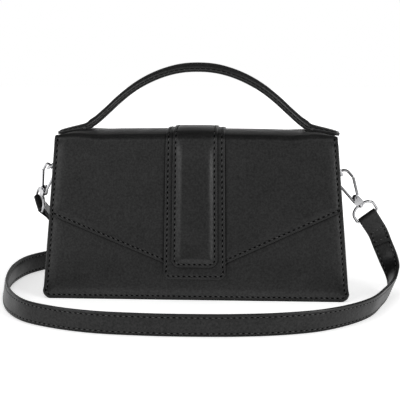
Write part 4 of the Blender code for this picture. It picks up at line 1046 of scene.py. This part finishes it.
def make_fold(side, path):
    """The strap's end turned round the eye's bar, sewn back on the inner face."""
    centre, leaves, out, run, _ = strap_end(side)
    bend = EYE_WIRE + CLEARANCE + FOLD_THICKNESS / 2
    stations = [(centre + leaves * length + out * bend, out, run)
                for length in (FOLD_START, FOLD_START / 2)]
    for i in range(19):
        angle = math.radians(90 + 180 * i / 18)
        a, b = bend * math.cos(angle), bend * math.sin(angle)
        stations.append((centre + leaves * a + out * b, (leaves * a + out * b).normalized(), run))
    ordered = path if side == "right" else path[::-1]
    lie = (STRAP_THICKNESS + FOLD_THICKNESS) / 2 + CLEARANCE / 3
    walked, last, sewn = 0.0, ordered[0][0], []
    for place, way, width in ordered:
        walked += (place - last).length
        last = place
        if FOLD_CLOSE_LENGTH < walked <= FOLD_LENGTH:
            stations.append((place - way * lie, -way, width))
            sewn.append((place - way * (lie + FOLD_THICKNESS / 2 - 0.0001), -way, width))
    t, w = FOLD_THICKNESS / 2, STRAP_WIDTH / 2 - 0.0001
    face = [(t - 0.00012, -w + 0.0003), (t, -w + 0.0009), (t - 0.00012, -STRAP_SEAM),
            (t, -STRAP_SEAM + 0.0009), (t + 0.00003, 0)]
    edge = [(t - 0.0004, w), (0, w + 0.00005), (-t + 0.0004, w)]
    fold = strap_skin(f"strap_end_{side}", stations, face, edge, w, tip=(0.7, 0.985))
    sewing = Sewing()
    for row in (-1, 1):
        line = [tuple(place + width * row * STRAP_SEAM) for place, _, width in sewn[1:-1]]
        spots = []
        for at in map(Vector, walk(line, STITCH_PITCH * 0.9)):
            spots.append((at, min(sewn, key=lambda s: (s[0] - at).length)[1]))
        sewing.run(spots)
    for place, way, width in (sewn[1], sewn[-2]):
        line = [tuple(place + width * b) for b in (-STRAP_SEAM, STRAP_SEAM)]
        sewing.run([(Vector(at), way) for at in walk(line, STITCH_PITCH * 0.85)])
    return fold, sewing.make(f"strap_end_{side}_stitching")


# Body

def edge_spread(half, count, corner=0.0, corner_count=0):
    """Column places over a width, finer in the last millimetres at each side."""
    rim = 0.007
    inner = half - max(corner, rim)
    outer = [inner + rim * s for s in (0.22, 0.42, 0.58, 0.72, 0.84, 0.93, 1.0)]
    if corner:
        outer = [half - corner + corner * math.sin(math.pi / 2 * i / corner_count)
                 for i in range(1, corner_count + 1)]
    return [-x for x in reversed(outer)] + evenly(-inner, inner, count) + outer


def groove(e, margin, depth, width):
    """The line that a row of thread presses into the leather."""
    return -depth * math.exp(-((e - margin) / width) ** 2)


def sewn_edge(e, margin=STITCH_MARGIN, puff=0.00085):
    """Relief beside a sewn edge: pressed down along the thread, full behind it."""
    rise = smoothstep(margin - 0.0006, margin + 0.0062, e)
    return groove(e, margin, 0.00036, 0.00075) - puff * (1 - rise)


def flap_half(u):
    z = z_at(u) if u > FLAT else BODY_HEIGHT
    return half_width(min(z, BODY_HEIGHT)) - FLAP_SIDE_INSET


def flap_corner(side):
    return half_width(V_CORNER[side]) - FLAP_SIDE_INSET, V_CORNER[side]


def v_end(x):
    """Length along the profile at which the flap's front ends, by x. Its V is a little uneven."""
    corner = flap_corner(1 if x >= 0 else -1)
    line = [(0, V_END_HEIGHT), (V_END_HALF_WIDTH, V_END_HEIGHT)]
    line.append((V_POINT_HALF_WIDTH, V_POINT_HEIGHT))
    run = math.dist(line[-1], corner)
    back = V_CORNER_RADIUS * 0.65
    low = tuple(c + (p - c) * back / run for c, p in zip(corner, line[-1]))
    high = (corner[0], corner[1] + back)
    for t in (i / 8 for i in range(9)):
        line.append(tuple((1 - t) ** 2 * p + 2 * t * (1 - t) * c + t * t * q
                          for p, c, q in zip(low, corner, high)))
    a = min(abs(x), corner[0])
    for (xa, za), (xb, zb) in zip(line, line[1:]):
        if a <= xb:
            return u_at(za + (zb - za) * (a - xa) / max(xb - xa, 1e-6))
    return u_at(high[1])


def front_relief(x, u, e):
    on_face = smoothstep(FLAT + ARC * 0.6, FLAT + ARC + 0.004, u)
    soft = 0.00012 * wobble(x, u, 0, 0.011, 1.3) + 0.00018 * wobble(x, u, 0, 0.03, 5.0)
    return sewn_edge(e) * max(0.35, on_face) + soft * on_face


def front_columns():
    """Column places on the flap's lower edge, from the left corner to the right one."""
    left, right = flap_corner(-1)[0], flap_corner(1)[0]
    steps = (0.00008, 0.0003, 0.0007, 0.0012, 0.0019, 0.0027, 0.0036, 0.0048, 0.0062)
    half = [0.0045, 0.009, V_END_HALF_WIDTH, 0.016, 0.019, 0.022, V_POINT_HALF_WIDTH]
    places = [-left] + [-left + s for s in steps] + evenly(-left + 0.0085, -0.029, 26)
    places += [-x for x in reversed(half)] + [0] + half + evenly(0.029, right - 0.0085, 26)
    return places + [right - s for s in reversed(steps)] + [right]


def make_flap():
    """The flap's outer leather, in a front and a rear half that meet on the bag's top."""
    lap_end = u_at(BODY_HEIGHT - FLAP_LAP)
    for side, end, columns, rows, name in (
        (-1, v_end, front_columns(), 40, "flap_face"),
        (1, lambda x: lap_end, edge_spread(flap_half(lap_end), 50), 16, "flap_rear"),
    ):
        sheet = Sheet(side, 0.0, flap_half, end, columns, 0.0003, COVER_OUT, radius=0.0006,
                      relief=front_relief, rows_between=rows)
        yield side, sheet.build(name, SKIN), sew_round(sheet, name + "_stitching", STITCH_MARGIN,
                                                       FLAT + ARC * 0.2)


def strip_half(base, top, end):
    def half(u):
        z = z_at(u) if u > FLAT else FLAP_TOP
        share = (min(z, FLAP_TOP) - end) / (FLAP_TOP - end)
        return (base + (top - base) * share) / 2
    return half


def round_end(limit, half, radius):
    """A straight end with rounded corners."""
    def end(x):
        over = abs(x) - (half(limit) - radius)
        if over <= 0:
            return limit
        return limit - radius + math.sqrt(max(radius ** 2 - min(over, radius) ** 2, 0))
    return end


def over_top(u):
    """1 on the bag's top, falling to 0 below the crease: the layers are thinned where they bend."""
    return 1 - smoothstep(FLAT + ARC * 0.4, FLAT + ARC + 0.009, u)


def strip_relief(x, u, e):
    soft = 0.00006 * wobble(x, u, 0, 0.012, 7.7)
    return groove(e, STRIP_STITCH_MARGIN, 0.00030, 0.0007) + soft - 0.0007 * over_top(u)


def pad_relief(x, u, e):
    """A flat sewn rim, then a full soft crown that thins out towards the top crease."""
    rise = smoothstep(0.0028, 0.0075, e)
    middle = 0.78 * rise + 0.22 * smoothstep(0.004, 0.016, e)
    full = smoothstep(FLAT + ARC * 0.6, FLAT + ARC + 0.014, u)
    crown = (PAD_OUT - PAD_RIM - 0.0002) * middle * (0.12 + 0.88 * full)
    soft = 0.00008 * wobble(x, u, 0, 0.014, 2.2) * rise
    return crown + groove(e, PAD_STITCH_MARGIN, 0.00034, 0.0007) + soft - pad_sink(u)


def pad_sink(u):
    return 0.0009 * over_top(u)


def make_strips():
    """The closure strip and its padded strip, each in a front and a rear half."""
    for name, base, top, end_z, back_long, radius, d_in, d_out, relief, sink, margin, skin in (
        ("closure_strip", STRIP_BASE_WIDTH, STRIP_TOP_WIDTH, STRIP_END_HEIGHT, STRIP_BACK_LENGTH,
         STRIP_CORNER_RADIUS, COVER_OUT - 0.0001, STRIP_OUT, strip_relief, None,
         STRIP_STITCH_MARGIN, SKIN),
        ("closure_pad", PAD_BASE_WIDTH, PAD_TOP_WIDTH, PAD_END_HEIGHT, PAD_BACK_LENGTH,
         PAD_CORNER_RADIUS, STRIP_OUT - 0.0001, PAD_RIM, pad_relief, lambda u: -pad_sink(u),
         PAD_STITCH_MARGIN, PAD_SKIN),
    ):
        for side, low, height, rows, part in ((-1, base, end_z, 44, "face"),
                                              (1, top, FLAP_TOP - back_long, 12, "rear")):
            half = strip_half(low, top, end_z)
            limit = u_at(height, d_out)
            widest = half(limit - radius)
            columns = edge_spread(widest, 16, radius, 9)
            columns[0], columns[-1] = -widest, widest
            sheet = Sheet(side, 0.0, half, round_end(limit, half, radius), columns, d_in, d_out,
                          relief=relief, rows_between=rows, sink=sink)
            thing = sheet.build(f"{name}_{part}", skin)
            yield name, side, thing, sew_round(sheet, f"{name}_{part}_stitching", margin)


def panel_half(u):
    return half_width(z_at(u, 0.0))


def panel_relief(x, u, e):
    soft = 0.00014 * wobble(x, u, z_at(u, 0), 0.016, 9.1)
    return sewn_edge(e, PANEL_STITCH_MARGIN, 0.0008) + soft


def make_panels():
    start = u_at(BODY_HEIGHT - BASE_ROUND * 1.2, 0)
    limit = u_at(0.0, 0)
    end = round_end(limit, panel_half, PANEL_CORNER_RADIUS)
    columns = edge_spread(panel_half(limit - PANEL_CORNER_RADIUS), 54, PANEL_CORNER_RADIUS, 9)
    for side, node in ((-1, "front_panel"), (1, "back_panel")):
        sheet = Sheet(side, start, panel_half, end, columns, -PANEL_THICKNESS, 0.0, closed=True,
                      radius=0.0008, relief=panel_relief, rows_between=88)
        thing = sheet.build(node + "_leather", SKIN)
        yield node, thing, sew_round(sheet, node + "_stitching", PANEL_STITCH_MARGIN, start + 0.002)


def u_outline(inset, radius, top, steps=10, rows=26):
    """The body's U outline in (x, z), from the top right corner round the bottom."""
    low = half_width(inset) - inset - radius
    foot = inset + radius
    right = [(half_width(z) - inset, z) for z in evenly(top, foot, rows)[:-1]]
    right.append((low + radius, foot))
    for angle in (-math.pi / 2 * i / steps for i in range(1, steps + 1)):
        right.append((low + radius * math.cos(angle), foot + radius * math.sin(angle)))
    across = [(low * (1 - 2 * i / 40), inset) for i in range(1, 40)]
    return right + across + [(-x, z) for x, z in reversed(right)]


def bow(x, z, depth):
    """How far the sides' middle bends: more towards the top, and not under the bottom."""
    return depth * math.sqrt(min(max((z - 0.012) / 0.09, 0), 1)) if abs(x) > 0.09 else 0.0


def make_gusset():
    """The band round sides and bottom, its flanges turned out to the panels."""
    top = BODY_HEIGHT - GUSSET_TOP_DROP
    t = GUSSET_THICKNESS
    rings = []
    for rim, out, inn in zip(
        u_outline(0.0, PANEL_CORNER_RADIUS, top),
        u_outline(SEAM_MARGIN, GUSSET_CORNER_RADIUS, top),
        u_outline(SEAM_MARGIN + t, GUSSET_CORNER_RADIUS - t, top),
    ):
        depth, deep = (half_depth(z) - PANEL_THICKNESS - 0.00005 for _, z in (rim, out))
        bend = bow(*out, 0.0016)
        ring = []

        def put(a, b, share, y):
            ring.append(Vector((a[0] + (b[0] - a[0]) * share, y, a[1] + (b[1] - a[1]) * share)))

        flange = [(0.0, -depth + 0.0003), (0.0, -depth + t - 0.0003), (0.06, -depth + t),
                  (0.5, -depth + t), (0.86, -deep + t), (0.97, -deep + t + 0.0004),
                  (1.0, -deep + t + 0.0014)]
        inner = [(0.02, depth), (0.5, depth), (0.95, deep), (1.0, deep - 0.0008)]
        for share, y in flange:
            put(rim, out, share, y)
        for k in range(1, 12):
            y = (-deep + t + 0.0014) + 2 * (deep - t - 0.0014) * k / 12
            put(out, inn, bend * (1 - (y / deep) ** 2) / t, y)
        for share, y in reversed(flange):
            put(rim, out, share, -y)
        for share, y in inner:
            put(rim, inn, share, y)
        away = Vector((inn[0] - out[0], 0, inn[1] - out[1])).normalized()
        for k in range(1, 8):
            y = (deep - 0.0008) * (1 - 2 * k / 8)
            ring.append(Vector((inn[0], y, inn[1])) + away * (bend * (1 - (y / deep) ** 2)))
        for share, y in reversed(inner):
            put(rim, inn, share, -y)
        rings.append(ring)
    shape = Shape()
    shape.rings(rings)
    return shape.make("gusset_leather", [LEATHER, EDGE])


def make_lining():
    """The fabric bag inside: two walls, and a band round sides and bottom with shallow wrinkles."""
    top = BODY_HEIGHT - LINING_TOP_DROP
    side = SEAM_MARGIN + GUSSET_THICKNESS + CLEARANCE
    wall = PANEL_THICKNESS + CLEARANCE
    floor = SEAM_MARGIN + GUSSET_THICKNESS + BOARD_THICKNESS + 2 * CLEARANCE
    radius = LINING_CORNER_RADIUS
    bottom = u_at(floor, -wall)

    def half(u):
        return half_width(z_at(u, -wall)) - side

    columns = edge_spread(half(bottom - radius), 40, radius, 7)
    for face, name in ((-1, "lining_front_wall"), (1, "lining_back_wall")):
        sheet = Sheet(face, u_at(top, -wall), half, round_end(bottom, half, radius), columns,
                      -wall - LINING_THICKNESS, -wall, closed=True, radius=0.0003)
        yield sheet.build(name, CLOTH)
    line = u_outline(side, radius, top)
    rings = []
    for i, (x, z) in enumerate(line):
        before, after = beside(line, i)
        dx, dz = after[0] - before[0], after[1] - before[1]
        size = math.hypot(dx, dz)
        inward = Vector((dz / size, 0, -dx / size))
        if inward.dot(Vector((-x, 0, 0.06 - z))) < 0:
            inward = -inward
        deep = half_depth(z) - wall - LINING_THICKNESS
        ring = []
        for y in (-deep + 2 * deep * k / 10 for k in range(11)):
            rise = 0.0004 * wobble(x, y, z, 0.02, 6.1) + bow(x, z, 0.0018) * (1 - (y / deep) ** 2)
            ring.append(Vector((x, y, z)) + inward * max(rise + 0.0002, 0.00005))
        rings.append(ring + [place + inward * LINING_THICKNESS for place in reversed(ring)])
    shape = Shape()
    shape.rings(rings)
    yield shape.make("lining_band", [FABRIC])


def make_facings():
    """A leather facing strip bound over the mouth's edge, inside, with one stitch row."""
    top = BODY_HEIGHT - LINING_TOP_DROP
    wall = PANEL_THICKNESS + CLEARANCE + LINING_THICKNESS
    start, bottom = u_at(top, -wall), u_at(top - FACING_HEIGHT, -wall)

    def half(u):
        return half_width(z_at(u, -wall)) - SEAM_MARGIN - GUSSET_THICKNESS - 0.0022

    reach, low = half(bottom) - 0.002, bottom - 0.002
    for face, name in ((-1, "mouth_facing_front"), (1, "mouth_facing_back")):
        sheet = Sheet(face, start, half, lambda x: bottom, edge_spread(half(bottom), 40),
                      -wall - FACING_THICKNESS, -wall + 0.0001, closed=True, radius=0.00025,
                      rows_between=8)
        yield sheet.build(name, [LEATHER, EDGE, LEATHER])
        sewing = Sewing()
        sewing.run(inner_spots(face, [(-reach, low), (reach, low)], STITCH_PITCH,
                               -wall - FACING_THICKNESS))
        yield sewing.make(name + "_stitching")


def make_pocket():
    """A flat fabric pocket on the back wall, with a folded hem."""
    wall = PANEL_THICKNESS + LINING_THICKNESS + 2 * CLEARANCE
    start, bottom = u_at(POCKET_TOP, -wall), u_at(POCKET_BOTTOM, -wall)
    hem_end = u_at(POCKET_TOP - POCKET_HEM, -wall)
    wide = POCKET_WIDTH / 2
    hem_wide = wide - 0.0003
    out = -wall - POCKET_THICKNESS

    def half(u):
        return wide

    sheet = Sheet(1, start, half, round_end(bottom, half, POCKET_RADIUS),
                  edge_spread(wide, 30, POCKET_RADIUS, 8), out, -wall, closed=True, radius=0.0003,
                  rows_between=24)
    yield sheet.build("pocket_fabric", CLOTH)
    hem = Sheet(1, start - 0.0002, lambda u: hem_wide, lambda x: hem_end, edge_spread(hem_wide, 30),
                -wall - 0.0013, -wall - 0.0006, closed=True, radius=0.0003, rows_between=6)
    yield hem.build("pocket_hem", CLOTH)
    seam, low, r = wide - 0.0022, bottom - 0.0022, 0.006
    line = [(seam, start + 0.010)]
    for a in (math.pi / 2 * i / 8 for i in range(9)):
        line.append((seam - r + r * math.cos(a), low - r + r * math.sin(a)))
    sewing = Sewing()
    for line, d in (
        ([(-wide + 0.002, hem_end - 0.002), (wide - 0.002, hem_end - 0.002)], -wall - 0.0013),
        (line + [(-x, u) for x, u in reversed(line)], out),
    ):
        sewing.run(inner_spots(1, line, POCKET_STITCH_PITCH, d), radius=0.00022)
    yield sewing.make("pocket_stitching")


# Handle

def handle_stations(side):
    """From the arch's middle to the tab's end: place on the underside, way up, distance in x."""
    line = [(x, FLAP_TOP + handle_underside(x)) for x in evenly(0, TAB_REACH, 600)]
    places = walk(line, HANDLE_STEP)
    stations = []
    for i, (x, z) in enumerate(places):
        a, b = beside(places, i)
        dx, dz = (b[0] - a[0], b[1] - a[1]) if i else (1.0, 0.0)
        size = math.hypot(dx, dz)
        up = Vector((-side * dz / size, 0, dx / size))
        if x <= TAB_REACH - TAB_CORNER_START:
            stations.append((Vector((side * x, 0, z)), up, x))
    up = stations[-1][1]
    for from_end in (0.0034, 0.0026, 0.0019, 0.0012, 0.0007, 0.0003, 0.0001, 0.0):
        x = TAB_REACH - from_end
        stations.append((Vector((side * x, 0, FLAP_TOP + handle_underside(x))), up, x))
    return stations


def tab_half(x):
    """The tab's half width, its corners rounded at the end."""
    half, r = HANDLE_WIDTH / 2, TAB_CORNER_RADIUS
    if TAB_REACH - x >= r:
        return half
    return half - r + math.sqrt(max(r ** 2 - (r - TAB_REACH + x) ** 2, 0))


def flange_section(half):
    """The two-layer strap's outline (y, height), with a line between its painted layers."""
    edge = PAINT_ROUND
    section = [
        (-half + edge, 0), (half - edge, 0), (half - 0.0001, 0.0001), (half, edge), (half, 0.00105),
        (half - 0.0005, FLANGE / 2), (half, 0.00135), (half, FLANGE - edge),
        (half - 0.0001, FLANGE - 0.0001), (half - edge, FLANGE), (half - 0.0010, FLANGE - 0.00008),
        (half * 0.72, FLANGE - 0.0002), (0, FLANGE - 0.0002),
    ]
    return section + [(-y, h) for y, h in reversed(section[2:-1])]


def roll_section(x):
    """The padded roll's outline (y, height), its foot sunk in the strap."""
    crown = min(HANDLE_WIDTH / 2, max(tab_half(x + 0.0018), 0.003)) - ROLL_INSET
    rise = roll_rise(x) - 0.0004
    foot = [(crown - 0.0006, FLANGE - 0.0004), (crown - 0.0006, FLANGE + 0.0001)]
    arch = [(crown * math.cos(angle), FLANGE + 0.0003 + rise * math.sin(angle) ** 0.95)
            for angle in (math.pi * k / 24 for k in range(25))]
    return foot + arch + [(-y, h) for y, h in reversed(foot)]


def across_at(place, up, section):
    return [place + Vector((0, y, 0)) + up * h for y, h in section]


def make_handle(side, name):
    """One half of the handle and its tab: the two-layer strap, the padded roll, the sewing."""
    stations = handle_stations(side)
    sections = [flange_section(max(tab_half(x), 0.0012)) for _, _, x in stations]
    wear = [[math.exp(-(section[3][0] - abs(y)) / FLANGE_WEAR) if h > 0.0002 else 0.2
             for y, h in section] for section in sections]
    count = len(sections[0])
    marks = [1 if 1 <= k <= 8 or count - 9 <= k <= count - 2 else 0 for k in range(count)]
    rings = [across_at(*station[:2], section) for station, section in zip(stations, sections)]
    shape = Shape()
    shape.rings(rings, 1, marks, wear)
    # The strap's painted edges take the paler copy of the edge paint, which is painted light
    flange = shape.make(f"handle_{name}_flange", [LEATHER, HANDLE_EDGE_PAINTED_LIGHT])
    rings = [across_at(place, up, roll_section(x)) for place, up, x in stations
             if x <= TAB_REACH - ROLL_END]
    shape = Shape()
    # The roll's foot takes the hole shade, a painted shadow line in the crevice against the strap;
    # the rest takes the paler roll leather, which is painted light
    shape.rings(rings, 0, [1 if k in (0, 1, 27, 28) else 0 for k in range(len(rings[0]))])
    roll = shape.make(f"handle_{name}_roll", [ROLL_LEATHER_PAINTED_LIGHT, HOLE_AND_SEAM_SHADE], sharp=60)
    sewing = Sewing()
    line = [s for s in stations if s[2] <= TAB_REACH - SEAM_END]
    ups = [up for _, up, _ in line]
    for row in (-1, 1):
        seam = Vector((0, row * (HANDLE_WIDTH / 2 - HANDLE_STITCH_MARGIN), 0))
        places = [place + up * (FLANGE - 0.0001) + seam for place, up, _ in line]
        sewing.run(walk_spots(places, ups, STITCH_PITCH), radius=HANDLE_THREAD)
    low = FLAP_TOP + handle_underside(TAB_REACH) + FLANGE
    ends = [Vector((side * (TAB_REACH - 0.0013), y, low - 0.0001)) for y in (-0.0052, 0, 0.0052)]
    sewing.run([(place, Vector((0, 0, 1))) for place in ends], radius=HANDLE_THREAD)
    # A few turns of thread bind each edge of the strap where the handle leaves its tab
    for number in (-1, 0, 1):
        x = WRAP_PLACE + WRAP_GAP * number
        place, up, _ = min(stations, key=lambda s: abs(s[2] - x))
        place = place + Vector((side * x - place.x, 0, 0))
        for row in (-1, 1):
            out = row * (HANDLE_WIDTH / 2 + 0.0001)
            inner, top, bottom = (
                place + Vector((0, y, 0)) + up * h for y, h in
                ((out - row * 0.0024, FLANGE + 0.0001), (out, FLANGE - 0.0002), (out, 0.0003)))
            for a, b, way in ((inner, top, up), (top, bottom, Vector((0, row, 0)))):
                sewing.stitch(a, b, way, radius=0.00034, rise=0.0001, sink=0.0001)
    pieces = flange, roll, sewing.make(f"handle_{name}_stitching")
    for piece in pieces:
        piece.data.transform(Matrix.Translation((HANDLE_SHIFT, 0, 0)))
    return pieces


# Loops of the D-rings

def band_rings(line, thickness, width, edge=0.0004):
    """A flat leather band that follows (x, z) points, its width along y, with rounded edges."""
    t, w = thickness / 2, width / 2
    half = [(-t, -w + edge), (-t + edge * 0.4, -w + edge * 0.2), (0, -w),
            (t - edge * 0.4, -w + edge * 0.2), (t, -w + edge), (t, 0)]
    section = half + [(-a, -b) for a, b in half]
    rings = []
    for i, (x, z) in enumerate(line):
        before, after = beside(line, i)
        along = Vector((after[0] - before[0], 0, after[1] - before[1])).normalized()
        out = Vector((along.z, 0, -along.x))
        rings.append([Vector((x, 0, z)) + out * a + Vector((0, b, 0)) for a, b in section])
    return rings


def make_ring_loop(sign, name):
    """The leather loop round a D-ring's bar: its two ends lie on each other and are sewn."""
    bar = ring_bar("right")
    top, closed = BODY_HEIGHT - LOOP_TOP_DROP, bar.z + LOOP_CLOSE_LENGTH
    bend = RING_WIRE + CLEARANCE + LOOP_THICKNESS / 2
    apart = LOOP_THICKNESS + CLEARANCE
    lean = (half_width(top) - half_width(bar.z)) / (top - bar.z)
    reach = math.hypot(LOOP_CLOSE_LENGTH, bend - apart)
    leaves = math.degrees(math.atan2(LOOP_CLOSE_LENGTH, apart - bend) - math.acos(bend / reach))
    line = [(bar.x - bend + lean * (z - bar.z), z) for z in evenly(top, bar.z, 6)[:-1]]
    for angle in (math.radians(180 + (180 + leaves) * i / 28) for i in range(29)):
        line.append((bar.x + bend * math.cos(angle), bar.z + bend * math.sin(angle)))
    line += [(bar.x - bend + apart + lean * (z - bar.z), z) for z in evenly(closed, top, 4)]
    shape = Shape()
    shape.rings(band_rings([(sign * x, z) for x, z in line], LOOP_THICKNESS, LOOP_WIDTH))
    loop = shape.make(f"ring_loop_{name}_leather", [LEATHER, EDGE])
    face = bar.x - bend + apart
    skin = LOOP_THICKNESS / 2 - 0.00005
    up = Vector((sign, 0, 0.08)).normalized()
    wide, high, low = LOOP_WIDTH / 2 - 0.0019, top - 0.0012, closed + 0.0008
    seam = walk([(-wide, high), (-wide, low), (wide, low), (wide, high)], LOOP_STITCH_PITCH)
    sewing = Sewing()
    sewing.run([(Vector((sign * (face + lean * (z - bar.z) + skin), y, z)), up) for y, z in seam])
    return loop, sewing.make(f"ring_loop_{name}_stitching")


# The scene

def use_material(node, material):
    mesh = NODES[node].data
    mesh.materials.clear()
    mesh.materials.append(material)
    shade(mesh, 38)


def on_bag(thing):
    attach(thing, "bag")


def blend_front(thing):
    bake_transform(thing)


def blend_rear(thing):
    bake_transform(thing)


def dress(pieces, place):
    for piece in pieces:
        place(piece)


def put_strap():
    path, length, strap, threads = make_strap()
    dress((strap, threads), on_bag)
    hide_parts("shoulder_strap")
    pieces = [threads]
    for side in ("right", "left"):
        fold, sewing = make_fold(side, path)
        dress((fold, sewing), on_bag)
        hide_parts(f"strap_fold_{side}")
        pieces += [fold, sewing]
    centres = [tuple(place + Vector((0, MIDDLE_Y, 0))) for place, _, _ in path]
    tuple(centres[0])


def put_body():
    for side, thing, threads in make_flap():
        dress((thing, threads), blend_front if side < 0 else blend_rear)
        if side < 0:
            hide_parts("flap_front", "flap_lining_front", "flap_top", "flap_lining_top")
        else:
            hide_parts("flap_back", "flap_top", "flap_lining_top")
    for name, side, thing, threads in make_strips():
        dress((thing, threads), blend_front if side < 0 else blend_rear)
        node = "strip" if name == "closure_strip" else "pad"
        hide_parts(f"{node}_front" if side < 0 else f"{node}_back", f"{node}_top")
    for node, thing, threads in make_panels():
        dress((thing, threads), on_bag)
        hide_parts(node)
    gusset = make_gusset()
    dress([gusset], on_bag)
    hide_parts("gusset")
    for piece in make_lining():
        dress([piece], on_bag)
        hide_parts("lining")
    dress(make_facings(), on_bag)
    for piece in make_pocket():
        dress([piece], on_bag)
        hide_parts("inner_pocket")


def put_handle():
    for side, name in ((-1, "left"), (1, "right")):
        flange, roll, threads = make_handle(side, name)
        for thing in (flange, roll, threads):
            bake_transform(thing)
        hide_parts("handle_strap", f"handle_tab_{name}")
        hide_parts("handle_roll", f"handle_tab_{name}")


def put_metal():
    for side, sign in (("left", -1), ("right", 1)):
        loop, threads = make_ring_loop(sign, side)
        dress((loop, threads), on_bag)
        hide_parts(f"ring_loop_{side}")
        for node in ("d_ring", "snap_hook", "hook_gate", "gate_pin", "swivel_eye"):
            use_material(f"{node}_{side}", CHROME)
        use_material(f"gate_spring_{side}", STEEL)
    use_material("base_board", BOARD)
    use_material("panel_magnet", MAGNET)
    use_material("flap_magnet", MAGNET)


# The floor ends out of view in front of the bag, so that the leather doesn't mirror it
FLOOR_X, FLOOR_Y = (-1.5, 1.5), (-0.27, 2.5)
WHITE = grey(1.0)
EVEN_LIGHT = 0.26
DARK_ROOM = 0.07
# What reflections see: low strips behind, in front and on the right. Each has the axis along which
# it brightens, from where to where and how much, and its fades along Z
STUDIO_STRIPS = (
    ("Y", 0.0, 0.7, 1.35, [(0.08, 0.27, 1.0, 0.0)]),
    ("Y", -0.15, -0.55, 0.60, [(0.52, 0.76, 1.0, 0.0), (-0.14, -0.04, 0.0, 1.0)]),
    ("X", 0.45, 0.85, 0.55, [(0.20, 0.50, 1.0, 0.0)]),
)
# Name, place, power, width and height; all aim at the bag
LAMP_AIM = (0, 0, 0.08)
LAMPS = (
    ("lamp_top", (0.05, 0.0, 1.5), 6.0, 1.3, 1.0),
    ("lamp_right", (1.15, -0.85, 0.65), 9.6, 0.6, 1.2),
    ("lamp_left", (-1.00, -1.05, 0.65), 6.6, 0.8, 1.2),
)


def make_world():
    """White for the eye, a dark room with light strips for reflections, even light for the rest."""
    world = bpy.data.worlds.new("studio")
    bpy.context.scene.world = world
    t = Tree(world)
    way = t.node("SeparateXYZ", Vector=t.coordinates["Generated"]).outputs
    light = DARK_ROOM
    for axis, low, high, strength, fades in reversed(STUDIO_STRIPS):
        strip = t.ramp(way[axis], low, high, 0.0, strength, smooth=True)
        for fade in fades:
            strip = t.math("MULTIPLY", strip, t.ramp(way["Z"], *fade, smooth=True))
        light = t.math("ADD", strip, light)
    even = t.nodes["Background"]
    t.give(even.inputs["Color"], WHITE)
    t.give(even.inputs["Strength"], EVEN_LIGHT)
    shown = even.outputs[0]
    direct = ["Is Camera Ray", "Is Transmission Ray"]
    for strength, kinds in ((light, ["Is Glossy Ray"]), (1.0, direct)):
        choice = t.node("MixShader", Fac=t.any_of(*kinds))
        t.give(choice.inputs[1], shown)
        t.give(choice.inputs[2], t.node("Background", Color=WHITE, Strength=strength).outputs[0])
        shown = choice.outputs[0]
    t.give(t.nodes["World Output"].inputs["Surface"], shown)


def make_floor():
    """A white floor that keeps the bag's shadow; its glow, seen only directly, grows outward."""
    mesh = bpy.data.meshes.new("floor")
    (left, right), (near, far) = FLOOR_X, FLOOR_Y
    corners = [(left, near, 0), (right, near, 0), (right, far, 0), (left, far, 0)]
    mesh.from_pydata(corners, [], [(0, 1, 2, 3)])
    floor = bpy.data.objects.new("floor", mesh)
    bpy.context.collection.objects.link(floor)
    t = Tree(bpy.data.materials.new("floor"))
    t.set(Base_Color=grey(0.82), Roughness=0.9, Specular_IOR_Level=0.0)
    distance = t.node("VectorMath")
    distance.operation = "LENGTH"
    t.give(distance.inputs[0], t.place)
    strength = t.ramp(distance.outputs["Value"], 0.2, 0.42, 0.55, 1.0, smooth=True)
    seen = t.any_of("Is Camera Ray", "Is Glossy Ray", "Is Transmission Ray")
    glow = t.node("Emission", Color=WHITE, Strength=t.math("MULTIPLY", strength, seen))
    both = t.node("AddShader")
    t.give(both.inputs[0], t.shader.outputs[0])
    t.give(both.inputs[1], glow.outputs[0])
    t.give(t.nodes["Material Output"].inputs["Surface"], both.outputs[0])
    mesh.materials.append(t.owner)


def make_studio():
    bpy.context.scene.view_settings.view_transform = "Standard"
    make_world()
    make_floor()
    for name, place, power, size_x, size_y in LAMPS:
        data = bpy.data.lights.new(name, "AREA")
        data.shape = "RECTANGLE"
        data.size, data.size_y = size_x, size_y
        data.energy = power
        lamp = bpy.data.objects.new(name, data)
        bpy.context.collection.objects.link(lamp)
        lamp.location = place
        lamp.rotation_euler = (Vector(LAMP_AIM) - Vector(place)).to_track_quat("-Z", "Y").to_euler()
        lamp.visible_glossy = name != "lamp_top"


make_camera()
put_strap()
put_body()
put_handle()
put_metal()
make_studio()
